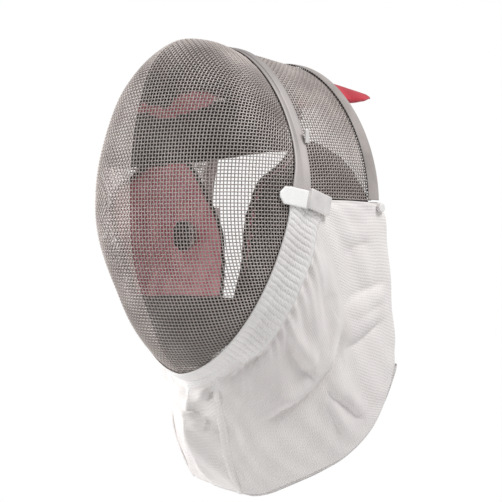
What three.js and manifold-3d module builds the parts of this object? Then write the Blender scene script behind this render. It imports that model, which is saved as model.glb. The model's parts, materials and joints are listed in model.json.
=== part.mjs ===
// A fencing mask, in millimetres, +Z up, facing -Y, with the wearer's left on +X.
// It is laid out about the top of its frame band (across, forward, height) and then moved, so
// that the origin is the seat of the head under the crown.

import * as THREE from 'three';
import Module from 'manifold-3d';
import { mergeVertices } from 'three/addons/utils/BufferGeometryUtils.js';

const wasm = await Module();
wasm.setup();

// Real sizes of the mask.
const halfWidth = 103;
const dropToEar = 136;
const earForward = 17;
const crownForward = -1;
const rearReach = 77;
const bibDrop = 260;

// Walls and strips.
const wireThickness = 2;
const bibThickness = 4;
const tapeThickness = 1.4;
const bandThickness = 1.5;
const rimThickness = 1.6;
const seamThickness = 1.2;
const padThickness = 8;
const tongueThickness = 11;
const bandLap = 8;
const tapeLap = 13;
const tapeFall = 0.96;
const rimWidth = 13;
const rimLap = 5;
const seamHalfWidth = 4.5;

// Clearances.
const layGap = 0.5;
const edgeGap = 0.8;
const padGap = 0.6;
const foreheadGap = 0.3;
const chinGap = 0.4;
const cutOut = 6;

// The seat of the head, from the top of the frame band.
const seatForward = -8;
const seatHeight = -14;

// Small fittings, as sizes along the mask and up it.
const tabLength = 32;
const tabHeight = 16;
const clipLength = 27;
const clipHeight = 17;
const rivetLength = 12;
const rivetWidth = 6;
const fittingThickness = 1.8;
const earHoleRadius = 15;
const earHoleForward = -37;
const earHoleHeight = -166;

const group = new THREE.Group();

function material(colour, roughness, metalness) {
  return new THREE.MeshStandardMaterial({ color: colour, roughness, metalness });
}

const wire = material(0x77736f, 0.45, 0.8);
const satinMetal = material(0xb9b2b0, 0.35, 0.9);
const greyBinding = material(0x8b8986, 0.7, 0.0);
const redCloth = material(0xc8324a, 0.9, 0.0);
const padCloth = material(0xb05a62, 0.9, 0.0);
const darkCloth = material(0x2c2a2b, 0.9, 0.0);
const whiteCloth = material(0xe4e1dd, 0.9, 0.0);
const whiteTape = material(0xefeeec, 0.8, 0.0);

// A point given as across, forward and height.
function place(across, forward, height) {
  return new THREE.Vector3(across, -forward, height);
}

// A smooth curve through evenly spaced values of one named column of a table.
function column(table, name, share) {
  const spot = Math.min(Math.max(share, 0), 1) * (table.length - 1);
  const first = Math.min(Math.floor(spot), table.length - 2);
  const part = spot - first;
  const at = (index) => table[Math.min(Math.max(index, 0), table.length - 1)][name];
  const before = at(first - 1);
  const start = at(first);
  const end = at(first + 1);
  const after = at(first + 2);
  const leaving = (end - before) / 2;
  const arriving = (after - start) / 2;
  const square = part * part;
  const cube = square * part;
  return (
    start * (2 * cube - 3 * square + 1) +
    leaving * (cube - 2 * square + part) +
    end * (3 * square - 2 * cube) +
    arriving * (cube - square)
  );
}

// The same with straight steps between the values.
function straight(table, name, share) {
  const spot = Math.min(Math.max(share, 0), 1) * (table.length - 1);
  const first = Math.min(Math.floor(spot), table.length - 2);
  return THREE.MathUtils.lerp(table[first][name], table[first + 1][name], spot - first);
}

// Rises smoothly from 0 at low to 1 at high.
function smoothStep(low, high, value) {
  const share = Math.min(Math.max((value - low) / (high - low), 0), 1);
  return share * share * (3 - 2 * share);
}

// A closed sheet of even divisions between two offsets of a surface. pointAt takes two shares
// from 0 to 1; facing is 1 or -1, whichever turns the first offset's side outwards.
function sheet(pointAt, rows, columns, facing, inner, outer) {
  const points = [];
  for (let row = 0; row <= rows; row += 1) {
    for (let step = 0; step <= columns; step += 1) {
      points.push(pointAt(row / rows, step / columns));
    }
  }
  const at = (row, step) => points[row * (columns + 1) + step];
  const positions = [];
  for (const share of [outer, inner]) {
    for (let row = 0; row <= rows; row += 1) {
      for (let step = 0; step <= columns; step += 1) {
        const down = at(Math.min(row + 1, rows), step).clone().sub(at(Math.max(row - 1, 0), step));
        const along = at(row, Math.min(step + 1, columns)).clone().sub(at(row, Math.max(step - 1, 0)));
        const normal = down.cross(along).normalize().multiplyScalar(facing);
        const offset = typeof share === 'function' ? share(row / rows, step / columns) : share;
        const point = at(row, step).clone().addScaledVector(normal, offset);
        positions.push(point.x, point.y, point.z);
      }
    }
  }
  return closedGrid(positions, rows, columns, facing);
}

// Joins two grids of points, the outer one first, into one closed body.
function closedGrid(positions, rows, columns, facing) {
  const wide = columns + 1;
  const layer = wide * (rows + 1);
  const triangles = [];
  const quad = (a, b, c, d) => {
    const corners = facing > 0 ? [a, b, c, a, c, d] : [a, c, b, a, d, c];
    triangles.push(...corners);
  };
  for (let row = 0; row < rows; row += 1) {
    for (let step = 0; step < columns; step += 1) {
      const corner = row * wide + step;
      quad(corner, corner + wide, corner + wide + 1, corner + 1);
      quad(
        layer + corner,
        layer + corner + 1,
        layer + corner + wide + 1,
        layer + corner + wide,
      );
    }
  }
  for (let step = 0; step < columns; step += 1) {
    const end = rows * wide + step;
    quad(step, step + 1, layer + step + 1, layer + step);
    quad(end + 1, end, layer + end, layer + end + 1);
  }
  for (let row = 0; row < rows; row += 1) {
    const start = row * wide;
    const end = start + columns;
    quad(start + wide, start, layer + start, layer + start + wide);
    quad(end, end + wide, layer + end + wide, layer + end);
  }
  const geometry = new THREE.BufferGeometry();
  geometry.setAttribute('position', new THREE.Float32BufferAttribute(positions, 3));
  geometry.setIndex(triangles);
  return geometry;
}

// The same body on the wearer's right.
function mirrored(geometry) {
  const copy = geometry.clone();
  copy.scale(-1, 1, 1);
  const index = copy.getIndex().array;
  for (let corner = 0; corner < index.length; corner += 3) {
    const kept = index[corner];
    index[corner] = index[corner + 1];
    index[corner + 1] = kept;
  }
  return copy;
}

function add(name, geometry, looks) {
  const flat = geometry.clone();
  flat.computeVertexNormals();
  const mesh = new THREE.Mesh(flat, looks);
  mesh.name = name;
  group.add(mesh);
  return mesh;
}

function addPair(name, geometry, looks) {
  return [
    add(`${name}_left`, geometry, looks),
    add(`${name}_right`, mirrored(geometry), looks),
  ];
}

// Front mesh: arches from ear to ear. Each lies in a plane that turns about the line through
// both ears, in even steps from the band over the face to the chin.
// ridge: the crease's distance from the ear line, in drops to the ear; fullness: how square
// the arch is; crease: how sharply its two halves meet.
const bandAngle = 97.4;
const chinAngle = -78.6;
const poleShare = 0.995;
const widestLap = 0.42;
const faceArches = [
  { ridge: 1.015, fullness: 1.66, crease: 0.03 },
  { ridge: 1.057, fullness: 1.78, crease: 0.04 },
  { ridge: 1.074, fullness: 1.9, crease: 0.06 },
  { ridge: 1.021, fullness: 2.02, crease: 0.08 },
  { ridge: 0.908, fullness: 2.14, crease: 0.1 },
  { ridge: 0.825, fullness: 2.22, crease: 0.12 },
  { ridge: 0.773, fullness: 2.28, crease: 0.13 },
  { ridge: 0.752, fullness: 2.3, crease: 0.13 },
  { ridge: 0.764, fullness: 2.28, crease: 0.13 },
  { ridge: 0.806, fullness: 2.22, crease: 0.13 },
  { ridge: 0.864, fullness: 2.14, crease: 0.12 },
  { ridge: 0.949, fullness: 2.04, crease: 0.1 },
  { ridge: 1.088, fullness: 1.94, crease: 0.07 },
  { ridge: 1.184, fullness: 1.85, crease: 0.03 },
];

function reachAt(around, turn) {
  const power = 2 / column(faceArches, 'fullness', around);
  const side = Math.sin(turn) ** power;
  const round = Math.max(Math.cos(turn), 0) ** power;
  const crease = column(faceArches, 'crease', around) * side * (1 - side);
  return { side, reach: column(faceArches, 'ridge', around) * dropToEar * round * (1 - crease) };
}

// around: 0 at the band, 1 at the chin. across: -1 right ear, 0 crease, 1 left ear.
function facePoint(around, across) {
  const angle = THREE.MathUtils.degToRad(bandAngle + (chinAngle - bandAngle) * around);
  const { side, reach } = reachAt(around, (Math.abs(across) * Math.PI) / 2);
  return place(
    Math.sign(across) * halfWidth * side,
    earForward + reach * Math.cos(angle),
    -dropToEar + reach * Math.sin(angle),
  );
}

// The share of the turn that a strip of one width takes up beside the band or the chin.
function lapShare(around, across, width) {
  const { reach } = reachAt(around, (Math.abs(across) * Math.PI) / 2);
  const sweep = THREE.MathUtils.degToRad(bandAngle - chinAngle);
  return Math.min(width / Math.max(reach * sweep, 1), widestLap);
}

// Rear mesh: the arch of the band carried back to the rear edge.
// rise: height of the arch in drops to the ear; width: its half width in half widths.
const rearArches = [
  { rise: 1.015, width: 1.0, fullness: 1.66 },
  { rise: 1.0, width: 1.025, fullness: 1.76 },
  { rise: 0.98, width: 1.03, fullness: 1.82 },
  { rise: 0.965, width: 1.015, fullness: 1.86 },
];

// back: 0 at the band, 1 at the rear edge. along: -1 right lower edge, 0 top, 1 left one.
function rearPoint(back, along) {
  const power = 2 / column(rearArches, 'fullness', back);
  const turn = (Math.abs(along) * Math.PI) / 2;
  const side = Math.sin(turn) ** power;
  const round = Math.max(Math.cos(turn), 0) ** power;
  const start = earForward + (crownForward - earForward) * round;
  return place(
    Math.sign(along) * column(rearArches, 'width', back) * halfWidth * side,
    start + (-rearReach - start) * back,
    -dropToEar + column(rearArches, 'rise', back) * dropToEar * round,
  );
}

// Bib: columns of points from the middle of the front round to the rear edge. across and back
// say where each column starts at the edge of the two meshes. The rest are its points below,
// across and forward in half widths and down in bib drops from the ear.
const bibColumns = [
  { across: 0, back: 0 },
  { across: 0.194, back: 0 },
  { across: 0.308, back: 0 },
  { across: 0.461, back: 0 },
  { across: 0.632, back: 0 },
  { across: 0.808, back: 0 },
  { across: 1, back: 0 },
  { across: 1, back: 0.6 },
  { across: 1, back: 1.17 },
];
const bibNeck = [
  { across: 0, forward: 0.51, down: 0.677 },
  { across: 0.262, forward: 0.41, down: 0.642 },
  { across: 0.46, forward: 0.32, down: 0.562 },
  { across: 0.718, forward: 0.262, down: 0.485 },
  { across: 0.893, forward: 0.175, down: 0.369 },
  { across: 1.01, forward: 0.058, down: 0.215 },
  { across: 1.039, forward: -0.058, down: 0.075 },
  { across: 1.058, forward: -0.45, down: 0.085 },
  { across: 1.039, forward: -0.942, down: 0.092 },
];
const bibWaist = [
  { across: 0, forward: 0.553, down: 0.765 },
  { across: 0.311, forward: 0.374, down: 0.765 },
  { across: 0.447, forward: 0.252, down: 0.746 },
  { across: 0.621, forward: 0.078, down: 0.727 },
  { across: 0.816, forward: -0.097, down: 0.65 },
  { across: 0.971, forward: -0.243, down: 0.554 },
  { across: 1.049, forward: -0.408, down: 0.438 },
  { across: 1.078, forward: -0.699, down: 0.362 },
  { across: 1.078, forward: -0.961, down: 0.304 },
];
const bibLow = [
  { across: 0, forward: 0.427, down: 0.885 },
  { across: 0.291, forward: 0.272, down: 0.9 },
  { across: 0.427, forward: 0.136, down: 0.9 },
  { across: 0.621, forward: -0.058, down: 0.881 },
  { across: 0.816, forward: -0.252, down: 0.823 },
  { across: 0.981, forward: -0.408, down: 0.765 },
  { across: 1.058, forward: -0.583, down: 0.688 },
  { across: 1.087, forward: -0.816, down: 0.592 },
  { across: 1.097, forward: -0.981, down: 0.485 },
];
const bibHem = [
  { across: 0, forward: 0.184, down: 0.985 },
  { across: 0.291, forward: 0.136, down: 1 },
  { across: 0.447, forward: 0.019, down: 1 },
  { across: 0.621, forward: -0.136, down: 0.963 },
  { across: 0.796, forward: -0.33, down: 0.92 },
  { across: 0.942, forward: -0.524, down: 0.869 },
  { across: 1.029, forward: -0.738, down: 0.788 },
  { across: 1.068, forward: -0.893, down: 0.685 },
  { across: 1.097, forward: -0.981, down: 0.573 },
];
const bibLevels = [bibNeck, bibWaist, bibLow, bibHem];
const seamColumn = 1 / 8;
const rightHemLift = 13;
const liftRound = 0.2;
const liftSpread = 0.13;
const liftStart = 0.5;

// The deep folds of the side panels, each from one place to another, in shares round and down
// the bib, with its depth and its half width in millimetres.
const folds = [
  { round: 0.84, down: 0.44, toRound: 0.69, toDown: 0.512, depth: 5, spread: 10 },
  { round: 0.69, down: 0.512, toRound: 0.575, toDown: 0.53, depth: 6, spread: 11 },
  { round: 0.575, down: 0.53, toRound: 0.45, toDown: 0.52, depth: 5, spread: 10 },
  { round: 0.45, down: 0.34, toRound: 0.56, toDown: 0.51, depth: 6, spread: 10 },
  { round: 0.69, down: 0.545, toRound: 0.84, toDown: 0.6, depth: 4, spread: 9 },
  { round: 0.59, down: 0.55, toRound: 0.76, toDown: 0.87, depth: 5, spread: 11 },
];
const bibLength = 330;
function foldDepth(round, down) {
  let depth = 0;
  for (const fold of folds) {
    const alongRound = (fold.toRound - fold.round) * bibLength;
    const alongDown = (fold.toDown - fold.down) * bibDrop;
    const fromRound = (round - fold.round) * bibLength;
    const fromDown = (down - fold.down) * bibDrop;
    const length = alongRound ** 2 + alongDown ** 2;
    const share = (fromRound * alongRound + fromDown * alongDown) / length;
    const held = Math.min(Math.max(share, 0), 1);
    const away = Math.hypot(fromRound - held * alongRound, fromDown - held * alongDown);
    depth = Math.max(depth, fold.depth * Math.exp(-((away / fold.spread) ** 2)));
  }
  return depth;
}

// round: 0 at the middle of the front to 1 at the rear edge. down: 0 at the mesh to 1 at the
// hem. The right side of the bib hangs a little higher at the front.
const probe = 0.01;
function bibPoint(side, round, down) {
  const point = plainBibPoint(side, round, down);
  const along = plainBibPoint(side, Math.min(round + probe, 1), down)
    .sub(plainBibPoint(side, Math.max(round - probe, 0), down));
  const below = plainBibPoint(side, round, Math.min(down + probe, 1))
    .sub(plainBibPoint(side, round, Math.max(down - probe, 0)));
  const inward = along.cross(below).normalize().multiplyScalar(side);
  return point.addScaledVector(inward, foldDepth(round, down));
}

function plainBibPoint(side, round, down) {
  const back = straight(bibColumns, 'back', round);
  const edge =
    back > 0
      ? rearPoint(back, 1)
      : facePoint(1, straight(bibColumns, 'across', round));
  edge.z -= edgeGap;
  const levels = [{ x: edge.x, y: edge.y, z: edge.z }];
  for (const level of bibLevels) {
    levels.push({
      x: halfWidth * column(level, 'across', round),
      y: -halfWidth * column(level, 'forward', round),
      z: -dropToEar - bibDrop * column(level, 'down', round),
    });
  }
  const point = new THREE.Vector3(
    side * column(levels, 'x', down),
    column(levels, 'y', down),
    column(levels, 'z', down),
  );
  if (side < 0) {
    const nearFront = Math.exp(-(((round - liftRound) / liftSpread) ** 2));
    const lowered = Math.max(down - liftStart, 0) / (1 - liftStart);
    point.z += rightHemLift * nearFront * lowered;
  }
  return point;
}

// The wire shells.
const faceRows = 18;
const rearRows = 6;
const archColumns = 32;
const archShare = (share) => (2 * share - 1) * poleShare;
function frontShell(inner, outer) {
  const points = (down, along) => facePoint(down, archShare(along));
  return sheet(points, faceRows, archColumns, 1, inner, outer);
}
const frontMesh = add('front_mesh', frontShell(-wireThickness, 0), wire);
const backStart = edgeGap / rearReach;
function rearShell(inner, outer) {
  const points = (down, along) => rearPoint(1 - down * (1 - backStart), archShare(along));
  return sheet(points, rearRows, archColumns, 1, inner, outer);
}
const rearMesh = add('rear_mesh', rearShell(-wireThickness, 0), wire);

// The frame band lies over the joint of the two shells, narrowing to its ends at the ears.
function bandPoint(width, along) {
  const across = archShare(along);
  if (width <= 0.5) {
    return rearPoint(((1 - 2 * width) * bandLap) / rearReach, across);
  }
  return facePoint(lapShare(0, across, bandLap) * (2 * width - 1), across);
}
const bandRows = 4;
const bandPlate = sheet(bandPoint, bandRows, archColumns, 1, layGap, layGap + bandThickness);
const band = add('frame_band', bandPlate, satinMetal);

// The binding stands out past the rear mesh's edge.
const rimStart = 1 - rimLap / rearReach;
const rimEnd = rimStart + rimWidth / rearReach;
const rimRows = 2;
function rimPoint(down, along) {
  return rearPoint(THREE.MathUtils.lerp(rimEnd, rimStart, down), archShare(along));
}
const rimStrip = sheet(rimPoint, rimRows, archColumns, 1, layGap, layGap + rimThickness);
add('rear_rim', rimStrip, greyBinding);

// Bib panels.
const bibRows = 18;
const frontColumns = 8;
const sideColumns = 16;
const seamGap = 0.005;
function frontPanelPoint(down, along) {
  const turn = (2 * along - 1) * (seamColumn - seamGap);
  return bibPoint(turn < 0 ? -1 : 1, Math.abs(turn), down);
}
add('bib_front_panel', sheet(frontPanelPoint, bibRows, frontColumns, 1, -bibThickness, 0), whiteCloth);
function sidePanel(side, inner, outer) {
  const start = seamColumn + seamGap;
  const points = (down, along) => bibPoint(side, THREE.MathUtils.lerp(start, 1, along), down);
  return sheet(points, bibRows, sideColumns, side, inner, outer);
}
const leftPanel = add('bib_side_panel_left', sidePanel(1, -bibThickness, 0), whiteCloth);
const rightPanel = add('bib_side_panel_right', sidePanel(-1, -bibThickness, 0), whiteCloth);

// The strips run from just under the bib's tape to just above the hem. roundPerMm is the share
// of the way round the bib that a millimetre takes up there.
const roundPerMm = 0.0035;
const seamTop = 0.26;
const seamBottom = 0.985;
const seamColumns = 2;
function seamTape(side) {
  const points = (down, along) => {
    const span = (2 * along - 1) * seamHalfWidth * roundPerMm;
    return bibPoint(side, seamColumn + span, THREE.MathUtils.lerp(seamTop, seamBottom, down));
  };
  return sheet(points, bibRows, seamColumns, side, layGap, layGap + seamThickness);
}
add('seam_tape_left', seamTape(1), whiteTape);
add('seam_tape_right', seamTape(-1), whiteTape);

// The tape binds the front mesh's lower edge and the top of the bib, from ear to ear.
function roundAt(across) {
  const spread = Math.abs(across);
  const next = bibColumns.findIndex((entry) => entry.across >= spread && entry.across > 0);
  const before = bibColumns[next - 1].across;
  const part = (spread - before) / (bibColumns[next].across - before);
  return (next - 1 + part) / (bibColumns.length - 1);
}
const tapeTurn = 0.4;
const neckShare = 1 / bibLevels.length;
const tapeRows = 5;
function tapePoint(width, along) {
  const across = archShare(along);
  if (width < tapeTurn) {
    const lap = lapShare(1, across, tapeLap);
    return facePoint(1 - lap * (1 - width / tapeTurn), across);
  }
  const fall = (width - tapeTurn) / (1 - tapeTurn);
  return bibPoint(across < 0 ? -1 : 1, roundAt(across), neckShare * tapeFall * fall);
}
const tapeStrip = sheet(tapePoint, tapeRows, archColumns, 1, layGap, layGap + tapeThickness);
const tape = add('bib_tape', tapeStrip, whiteTape);

// Padding is laid against the inside of the shells and the bib, along lines from inside. A
// slanting line gets a longer gap, up to that of flattestSlant.
const caster = new THREE.Raycaster();
const flattestSlant = 0.4;
function firstWall(start, direction, walls) {
  caster.set(start, direction);
  const hits = caster.intersectObjects(walls, false);
  if (hits.length === 0) {
    return { point: start.clone(), slant: 1 };
  }
  const slant = Math.abs(hits[0].face.normal.dot(direction));
  return { point: hits[0].point, slant: Math.max(slant, flattestSlant) };
}

// The nearest wall of a few lines side by side, so that none slips through a joint.
const jointStep = 1.6;
const jointSteps = [
  [0, 0],
  [1, 1],
  [1, -1],
  [-1, 1],
  [-1, -1],
];
function nearestWall(start, direction, walls, spread) {
  let nearest = { length: halfWidth - wireThickness, slant: 1, found: false };
  for (const [back, up] of jointSteps) {
    const beside = start.clone();
    beside.y += back * spread;
    beside.z += up * spread;
    const hit = firstWall(beside, direction, walls);
    const length = hit.point.distanceTo(beside);
    if (length > 1 && (!nearest.found || length < nearest.length)) {
      nearest = { length, slant: hit.slant, found: true };
    }
  }
  return { point: start.clone().addScaledVector(direction, nearest.length), slant: nearest.slant };
}

// startAt and wayAt give a line for two shares from 0 to 1; edges are thinner than the middle.
const edgeShare = 0.4;
const edgeSteps = 1.5;
function pad(startAt, wayAt, { rows, columns }, walls, gap, spread = jointStep) {
  const outer = [];
  const inner = [];
  for (let row = 0; row <= rows; row += 1) {
    for (let step = 0; step <= columns; step += 1) {
      const down = row / rows;
      const along = step / columns;
      const way = wayAt(down, along).normalize();
      const { point: wall, slant } = nearestWall(startAt(down, along), way, walls, spread);
      const edge = Math.min(down, 1 - down) * rows;
      const end = Math.min(along, 1 - along) * columns;
      const rise = smoothStep(0, edgeSteps, edge) * smoothStep(0, edgeSteps, end);
      const full = THREE.MathUtils.lerp(edgeShare, 1, rise);
      const face = wall.clone().addScaledVector(way, -gap / slant);
      const back = wall.addScaledVector(way, -gap / slant - padThickness * full);
      outer.push(face.x, face.y, face.z);
      inner.push(back.x, back.y, back.z);
    }
  }
  return closedGrid([...outer, ...inner], rows, columns, 1);
}

const shells = [frontMesh, rearMesh];
const foreheadTop = -54;
const foreheadDrop = 44;
const foreheadDip = 13;
const foreheadTurn = 86;
const foreheadRows = 4;
const foreheadColumns = 22;
function foreheadStart(down, along) {
  const dip = foreheadDip * Math.sin(Math.PI * along);
  return place(0, earForward, foreheadTop - foreheadDrop * down - dip);
}
function foreheadWay(down, along) {
  const turn = THREE.MathUtils.degToRad((2 * along - 1) * foreheadTurn);
  return place(Math.sin(turn), Math.cos(turn), 0);
}
const foreheadGrid = { rows: foreheadRows, columns: foreheadColumns };
const foreheadPad = pad(foreheadStart, foreheadWay, foreheadGrid, shells, foreheadGap);
add('forehead_pad', foreheadPad, darkCloth);

// The crown pad, from its rear end over the crown to the strip that comes down to the
// forehead pad. half: its half width, in half widths of the mask.
const crownWidths = [
  { half: 0.7 },
  { half: 0.73 },
  { half: 0.7 },
  { half: 0.67 },
  { half: 0.65 },
  { half: 0.61 },
  { half: 0.38 },
  { half: 0.23 },
];
const crownFront = 42;
const crownBack = 116;
const crownRows = 14;
const crownColumns = 10;
function crownStart(down, along) {
  const half = halfWidth * column(crownWidths, 'half', down);
  return place((2 * along - 1) * half, earForward, -dropToEar);
}
function crownWay(down) {
  const turn = THREE.MathUtils.degToRad(THREE.MathUtils.lerp(crownBack, crownFront, down));
  return place(0, Math.cos(turn), Math.sin(turn));
}
const crownGrid = { rows: crownRows, columns: crownColumns };
add('crown_pad', pad(crownStart, crownWay, crownGrid, shells, padGap), padCloth);

// The chin pad lines the bottom of the front mesh, below the side pads.
const chinPadTop = 91;
const chinPadDrop = 55;
const chinPadForward = 36;
const chinPadTurn = 84;
const chinPadLowTurn = 60;
const chinGrid = { rows: 6, columns: 18 };
function chinStart(down) {
  return place(0, chinPadForward, -dropToEar - chinPadTop - chinPadDrop * down);
}
function chinWay(down, along) {
  const spread = THREE.MathUtils.lerp(chinPadTurn, chinPadLowTurn, down);
  const turn = THREE.MathUtils.degToRad((2 * along - 1) * spread);
  return place(Math.sin(turn), Math.cos(turn), 0);
}
add('chin_pad', pad(chinStart, chinWay, chinGrid, [frontMesh], chinGap, 0), darkCloth);

// Side pads: rows from the top down, each from its rear end to its front end. drop: how far
// below the crown, in drops to the ear; rear and front: how far behind and before the origin of
// the layout, in rear reaches and half widths.
const sidePadRows = [
  { drop: 0.632, rear: 0.104, front: 0.087 },
  { drop: 0.676, rear: 0.429, front: 0.11 },
  { drop: 0.765, rear: 0.61, front: 0.21 },
  { drop: 0.882, rear: 0.74, front: 0.485 },
  { drop: 1.059, rear: 0.883, front: 0.602 },
  { drop: 1.191, rear: 0.987, front: 0.67 },
  { drop: 1.338, rear: 1.065, front: 0.7 },
  { drop: 1.507, rear: 1.156, front: 0.7 },
  { drop: 1.654, rear: 1.039, front: 0.69 },
];
const sidePadGrid = { rows: 10, columns: 12 };
function sidePad(side, walls) {
  const startAt = (down, along) => {
    const rear = -rearReach * column(sidePadRows, 'rear', down);
    const front = halfWidth * column(sidePadRows, 'front', down);
    const share = side > 0 ? 1 - along : along;
    const forward = THREE.MathUtils.lerp(rear, front, share);
    return place(0, forward, -dropToEar * column(sidePadRows, 'drop', down));
  };
  return pad(startAt, () => place(side, 0, 0), sidePadGrid, walls, padGap);
}

function solidOf(geometry) {
  const bare = geometry.clone();
  bare.deleteAttribute('normal');
  bare.deleteAttribute('uv');
  const merged = mergeVertices(bare, 0.0001);
  return new wasm.Manifold(
    new wasm.Mesh({
      numProp: 3,
      vertProperties: new Float32Array(merged.getAttribute('position').array),
      triVerts: new Uint32Array(merged.getIndex().array),
    }),
  );
}
function geometryOf(solid) {
  const mesh = solid.getMesh();
  const geometry = new THREE.BufferGeometry();
  const corners = new THREE.BufferAttribute(new Float32Array(mesh.vertProperties), 3);
  geometry.setAttribute('position', corners);
  geometry.setIndex(new THREE.BufferAttribute(new Uint32Array(mesh.triVerts), 1));
  return geometry;
}

const earHoleSides = 24;
const holeLength = 3 * halfWidth;
const earHole = new THREE.CylinderGeometry(earHoleRadius, earHoleRadius, holeLength, earHoleSides);
earHole.rotateZ(Math.PI / 2);
const holeSpot = place(0, earHoleForward, earHoleHeight);
earHole.translate(holeSpot.x, holeSpot.y, holeSpot.z);
const holeSolid = solidOf(earHole);
const frontCut = solidOf(frontShell(-wireThickness - layGap, cutOut));
const rearCut = solidOf(rearShell(-wireThickness - layGap, cutOut));
const bibShifts = [
  [-edgeGap, -edgeGap],
  [edgeGap, edgeGap],
  [-edgeGap, edgeGap],
];
// The pad without what would touch the shells or the bib; its largest piece is kept.
function cutSidePad(side, panel) {
  const whole = solidOf(sidePad(side, [...shells, panel]));
  let cut = whole.subtract(holeSolid).subtract(frontCut).subtract(rearCut);
  for (const [back, up] of bibShifts) {
    const bibCut = sidePanel(side, -bibThickness - layGap, cutOut);
    bibCut.translate(0, back, up);
    cut = cut.subtract(solidOf(bibCut));
  }
  const pieces = cut.decompose().sort((one, other) => other.volume() - one.volume());
  return geometryOf(pieces[0]);
}
add('side_pad_left', cutSidePad(1, leftPanel), padCloth);
add('side_pad_right', cutSidePad(-1, rightPanel), padCloth);

// Back tongue: a padded strip out of the middle of the rear edge.
const tongueRoot = -60;
const tongueTip = -192;
const tongueHalfWidth = 43;
const tongueTop = -12.2;
const tongueFall = 10;
const tongueArch = 18;
const tongueBow = 1.3;
const tipRound = 0.88;
const tipStart = 0.5;
const tongueRows = 12;
const tongueColumns = 8;
function tongueCentre(down, along) {
  const share = 2 * along - 1;
  const taper = Math.sqrt(1 - tipRound * smoothStep(tipStart, 1, 1 - down) ** 2);
  const length = THREE.MathUtils.lerp(tongueTip, tongueRoot, down);
  const drop = tongueFall * (1 - down) ** tongueBow + tongueArch * share * share;
  return place(share * tongueHalfWidth * taper, length, tongueTop - drop);
}
function tongueHalf(down, along) {
  const end = Math.min(down, 1 - down) * tongueRows;
  const side = Math.min(along, 1 - along) * tongueColumns;
  const rise = smoothStep(0, edgeSteps, end) * smoothStep(0, edgeSteps, side);
  return (tongueThickness / 2) * THREE.MathUtils.lerp(edgeShare, 1, rise);
}
const tongueUnder = (down, along) => -tongueHalf(down, along);
const tongue = sheet(tongueCentre, tongueRows, tongueColumns, 1, tongueUnder, tongueHalf);
add('back_tongue', tongue, redCloth);

// Fittings lie on the outside, over whatever is outermost there.
const covers = [frontMesh, rearMesh, band, tape, leftPanel];
function outermost(forward, height) {
  const from = place(3 * halfWidth, forward, height);
  const { point } = firstWall(from, place(-1, 0, 0), covers);
  return point.x > 2 * halfWidth ? 0 : point.x;
}
// A plate that follows the surface under it. nose rounds its front end, and heel its rear end.
const plateSteps = 6;
const plateRows = 2;
const endFullness = 0.94;
const probeHeights = [-0.5, -0.25, 0, 0.25, 0.5];
function fitting({ forward, height, length, tall, thickness, nose, heel }) {
  const levels = [];
  for (let step = 0; step <= plateSteps; step += 1) {
    const at = forward + length * (0.5 - step / plateSteps);
    const seats = probeHeights.map((up) => outermost(at, height + up * tall));
    levels.push(Math.max(...seats));
  }
  const raised = levels.map((level, step) => {
    const before = levels[Math.max(step - 1, 0)];
    const after = levels[Math.min(step + 1, plateSteps)];
    return Math.max(level, before, after);
  });
  const points = (down, along) => {
    const fromNose = Math.min((along * length) / (tall / 2), 1);
    const fromHeel = Math.min(((1 - along) * length) / (tall / 2), 1);
    const roundNose = nose ? Math.sqrt(1 - endFullness * (1 - fromNose) ** 2) : 1;
    const roundHeel = heel ? Math.sqrt(1 - endFullness * (1 - fromHeel) ** 2) : 1;
    const level = raised[Math.round(along * plateSteps)];
    const up = (0.5 - down) * tall * roundNose * roundHeel;
    return place(level, forward + length * (0.5 - along), height + up);
  };
  return sheet(points, plateRows, plateSteps, 1, layGap, layGap + thickness);
}
const tabForward = 29;
const tab = {
  forward: tabForward,
  height: -dropToEar,
  length: tabLength,
  tall: tabHeight,
  thickness: fittingThickness,
  nose: true,
};
addPair('tape_tab', fitting(tab), whiteTape);
const clipDrop = 4;
const clip = {
  forward: tabForward - (tabLength + clipLength) / 2 - edgeGap,
  height: -dropToEar - clipDrop,
  length: clipLength,
  tall: clipHeight,
  thickness: 2 * fittingThickness,
};
addPair('clip', fitting(clip), satinMetal);
const rivetForward = 2;
const rivetDrop = 83;
const rivet = {
  forward: rivetForward,
  height: -rivetDrop,
  length: rivetWidth,
  tall: rivetLength,
  thickness: fittingThickness,
};
addPair('band_rivet', fitting(rivet), satinMetal);
const loopLength = 9;
const loopHeight = 8;
const loopDrop = 6;
const loop = {
  forward: -rearReach - loopLength,
  height: -dropToEar - loopDrop,
  length: loopLength,
  tall: loopHeight,
  thickness: 2 * fittingThickness,
  nose: true,
  heel: true,
};
addPair('rear_loop', fitting(loop), whiteTape);

// The origin is the seat of the head.
for (const mesh of group.children) {
  mesh.geometry.translate(0, seatForward, -seatHeight);
}

export default group;
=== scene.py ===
"""The looks of a fencing mask: woven wire, satin frame, ribbed tape, padded bib and padding.

Sizes are in millimetres, laid out about the top of the frame band as (across, forward, height),
and turned into metres in the part's own frame, whose origin is the seat of the head.
"""

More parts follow.
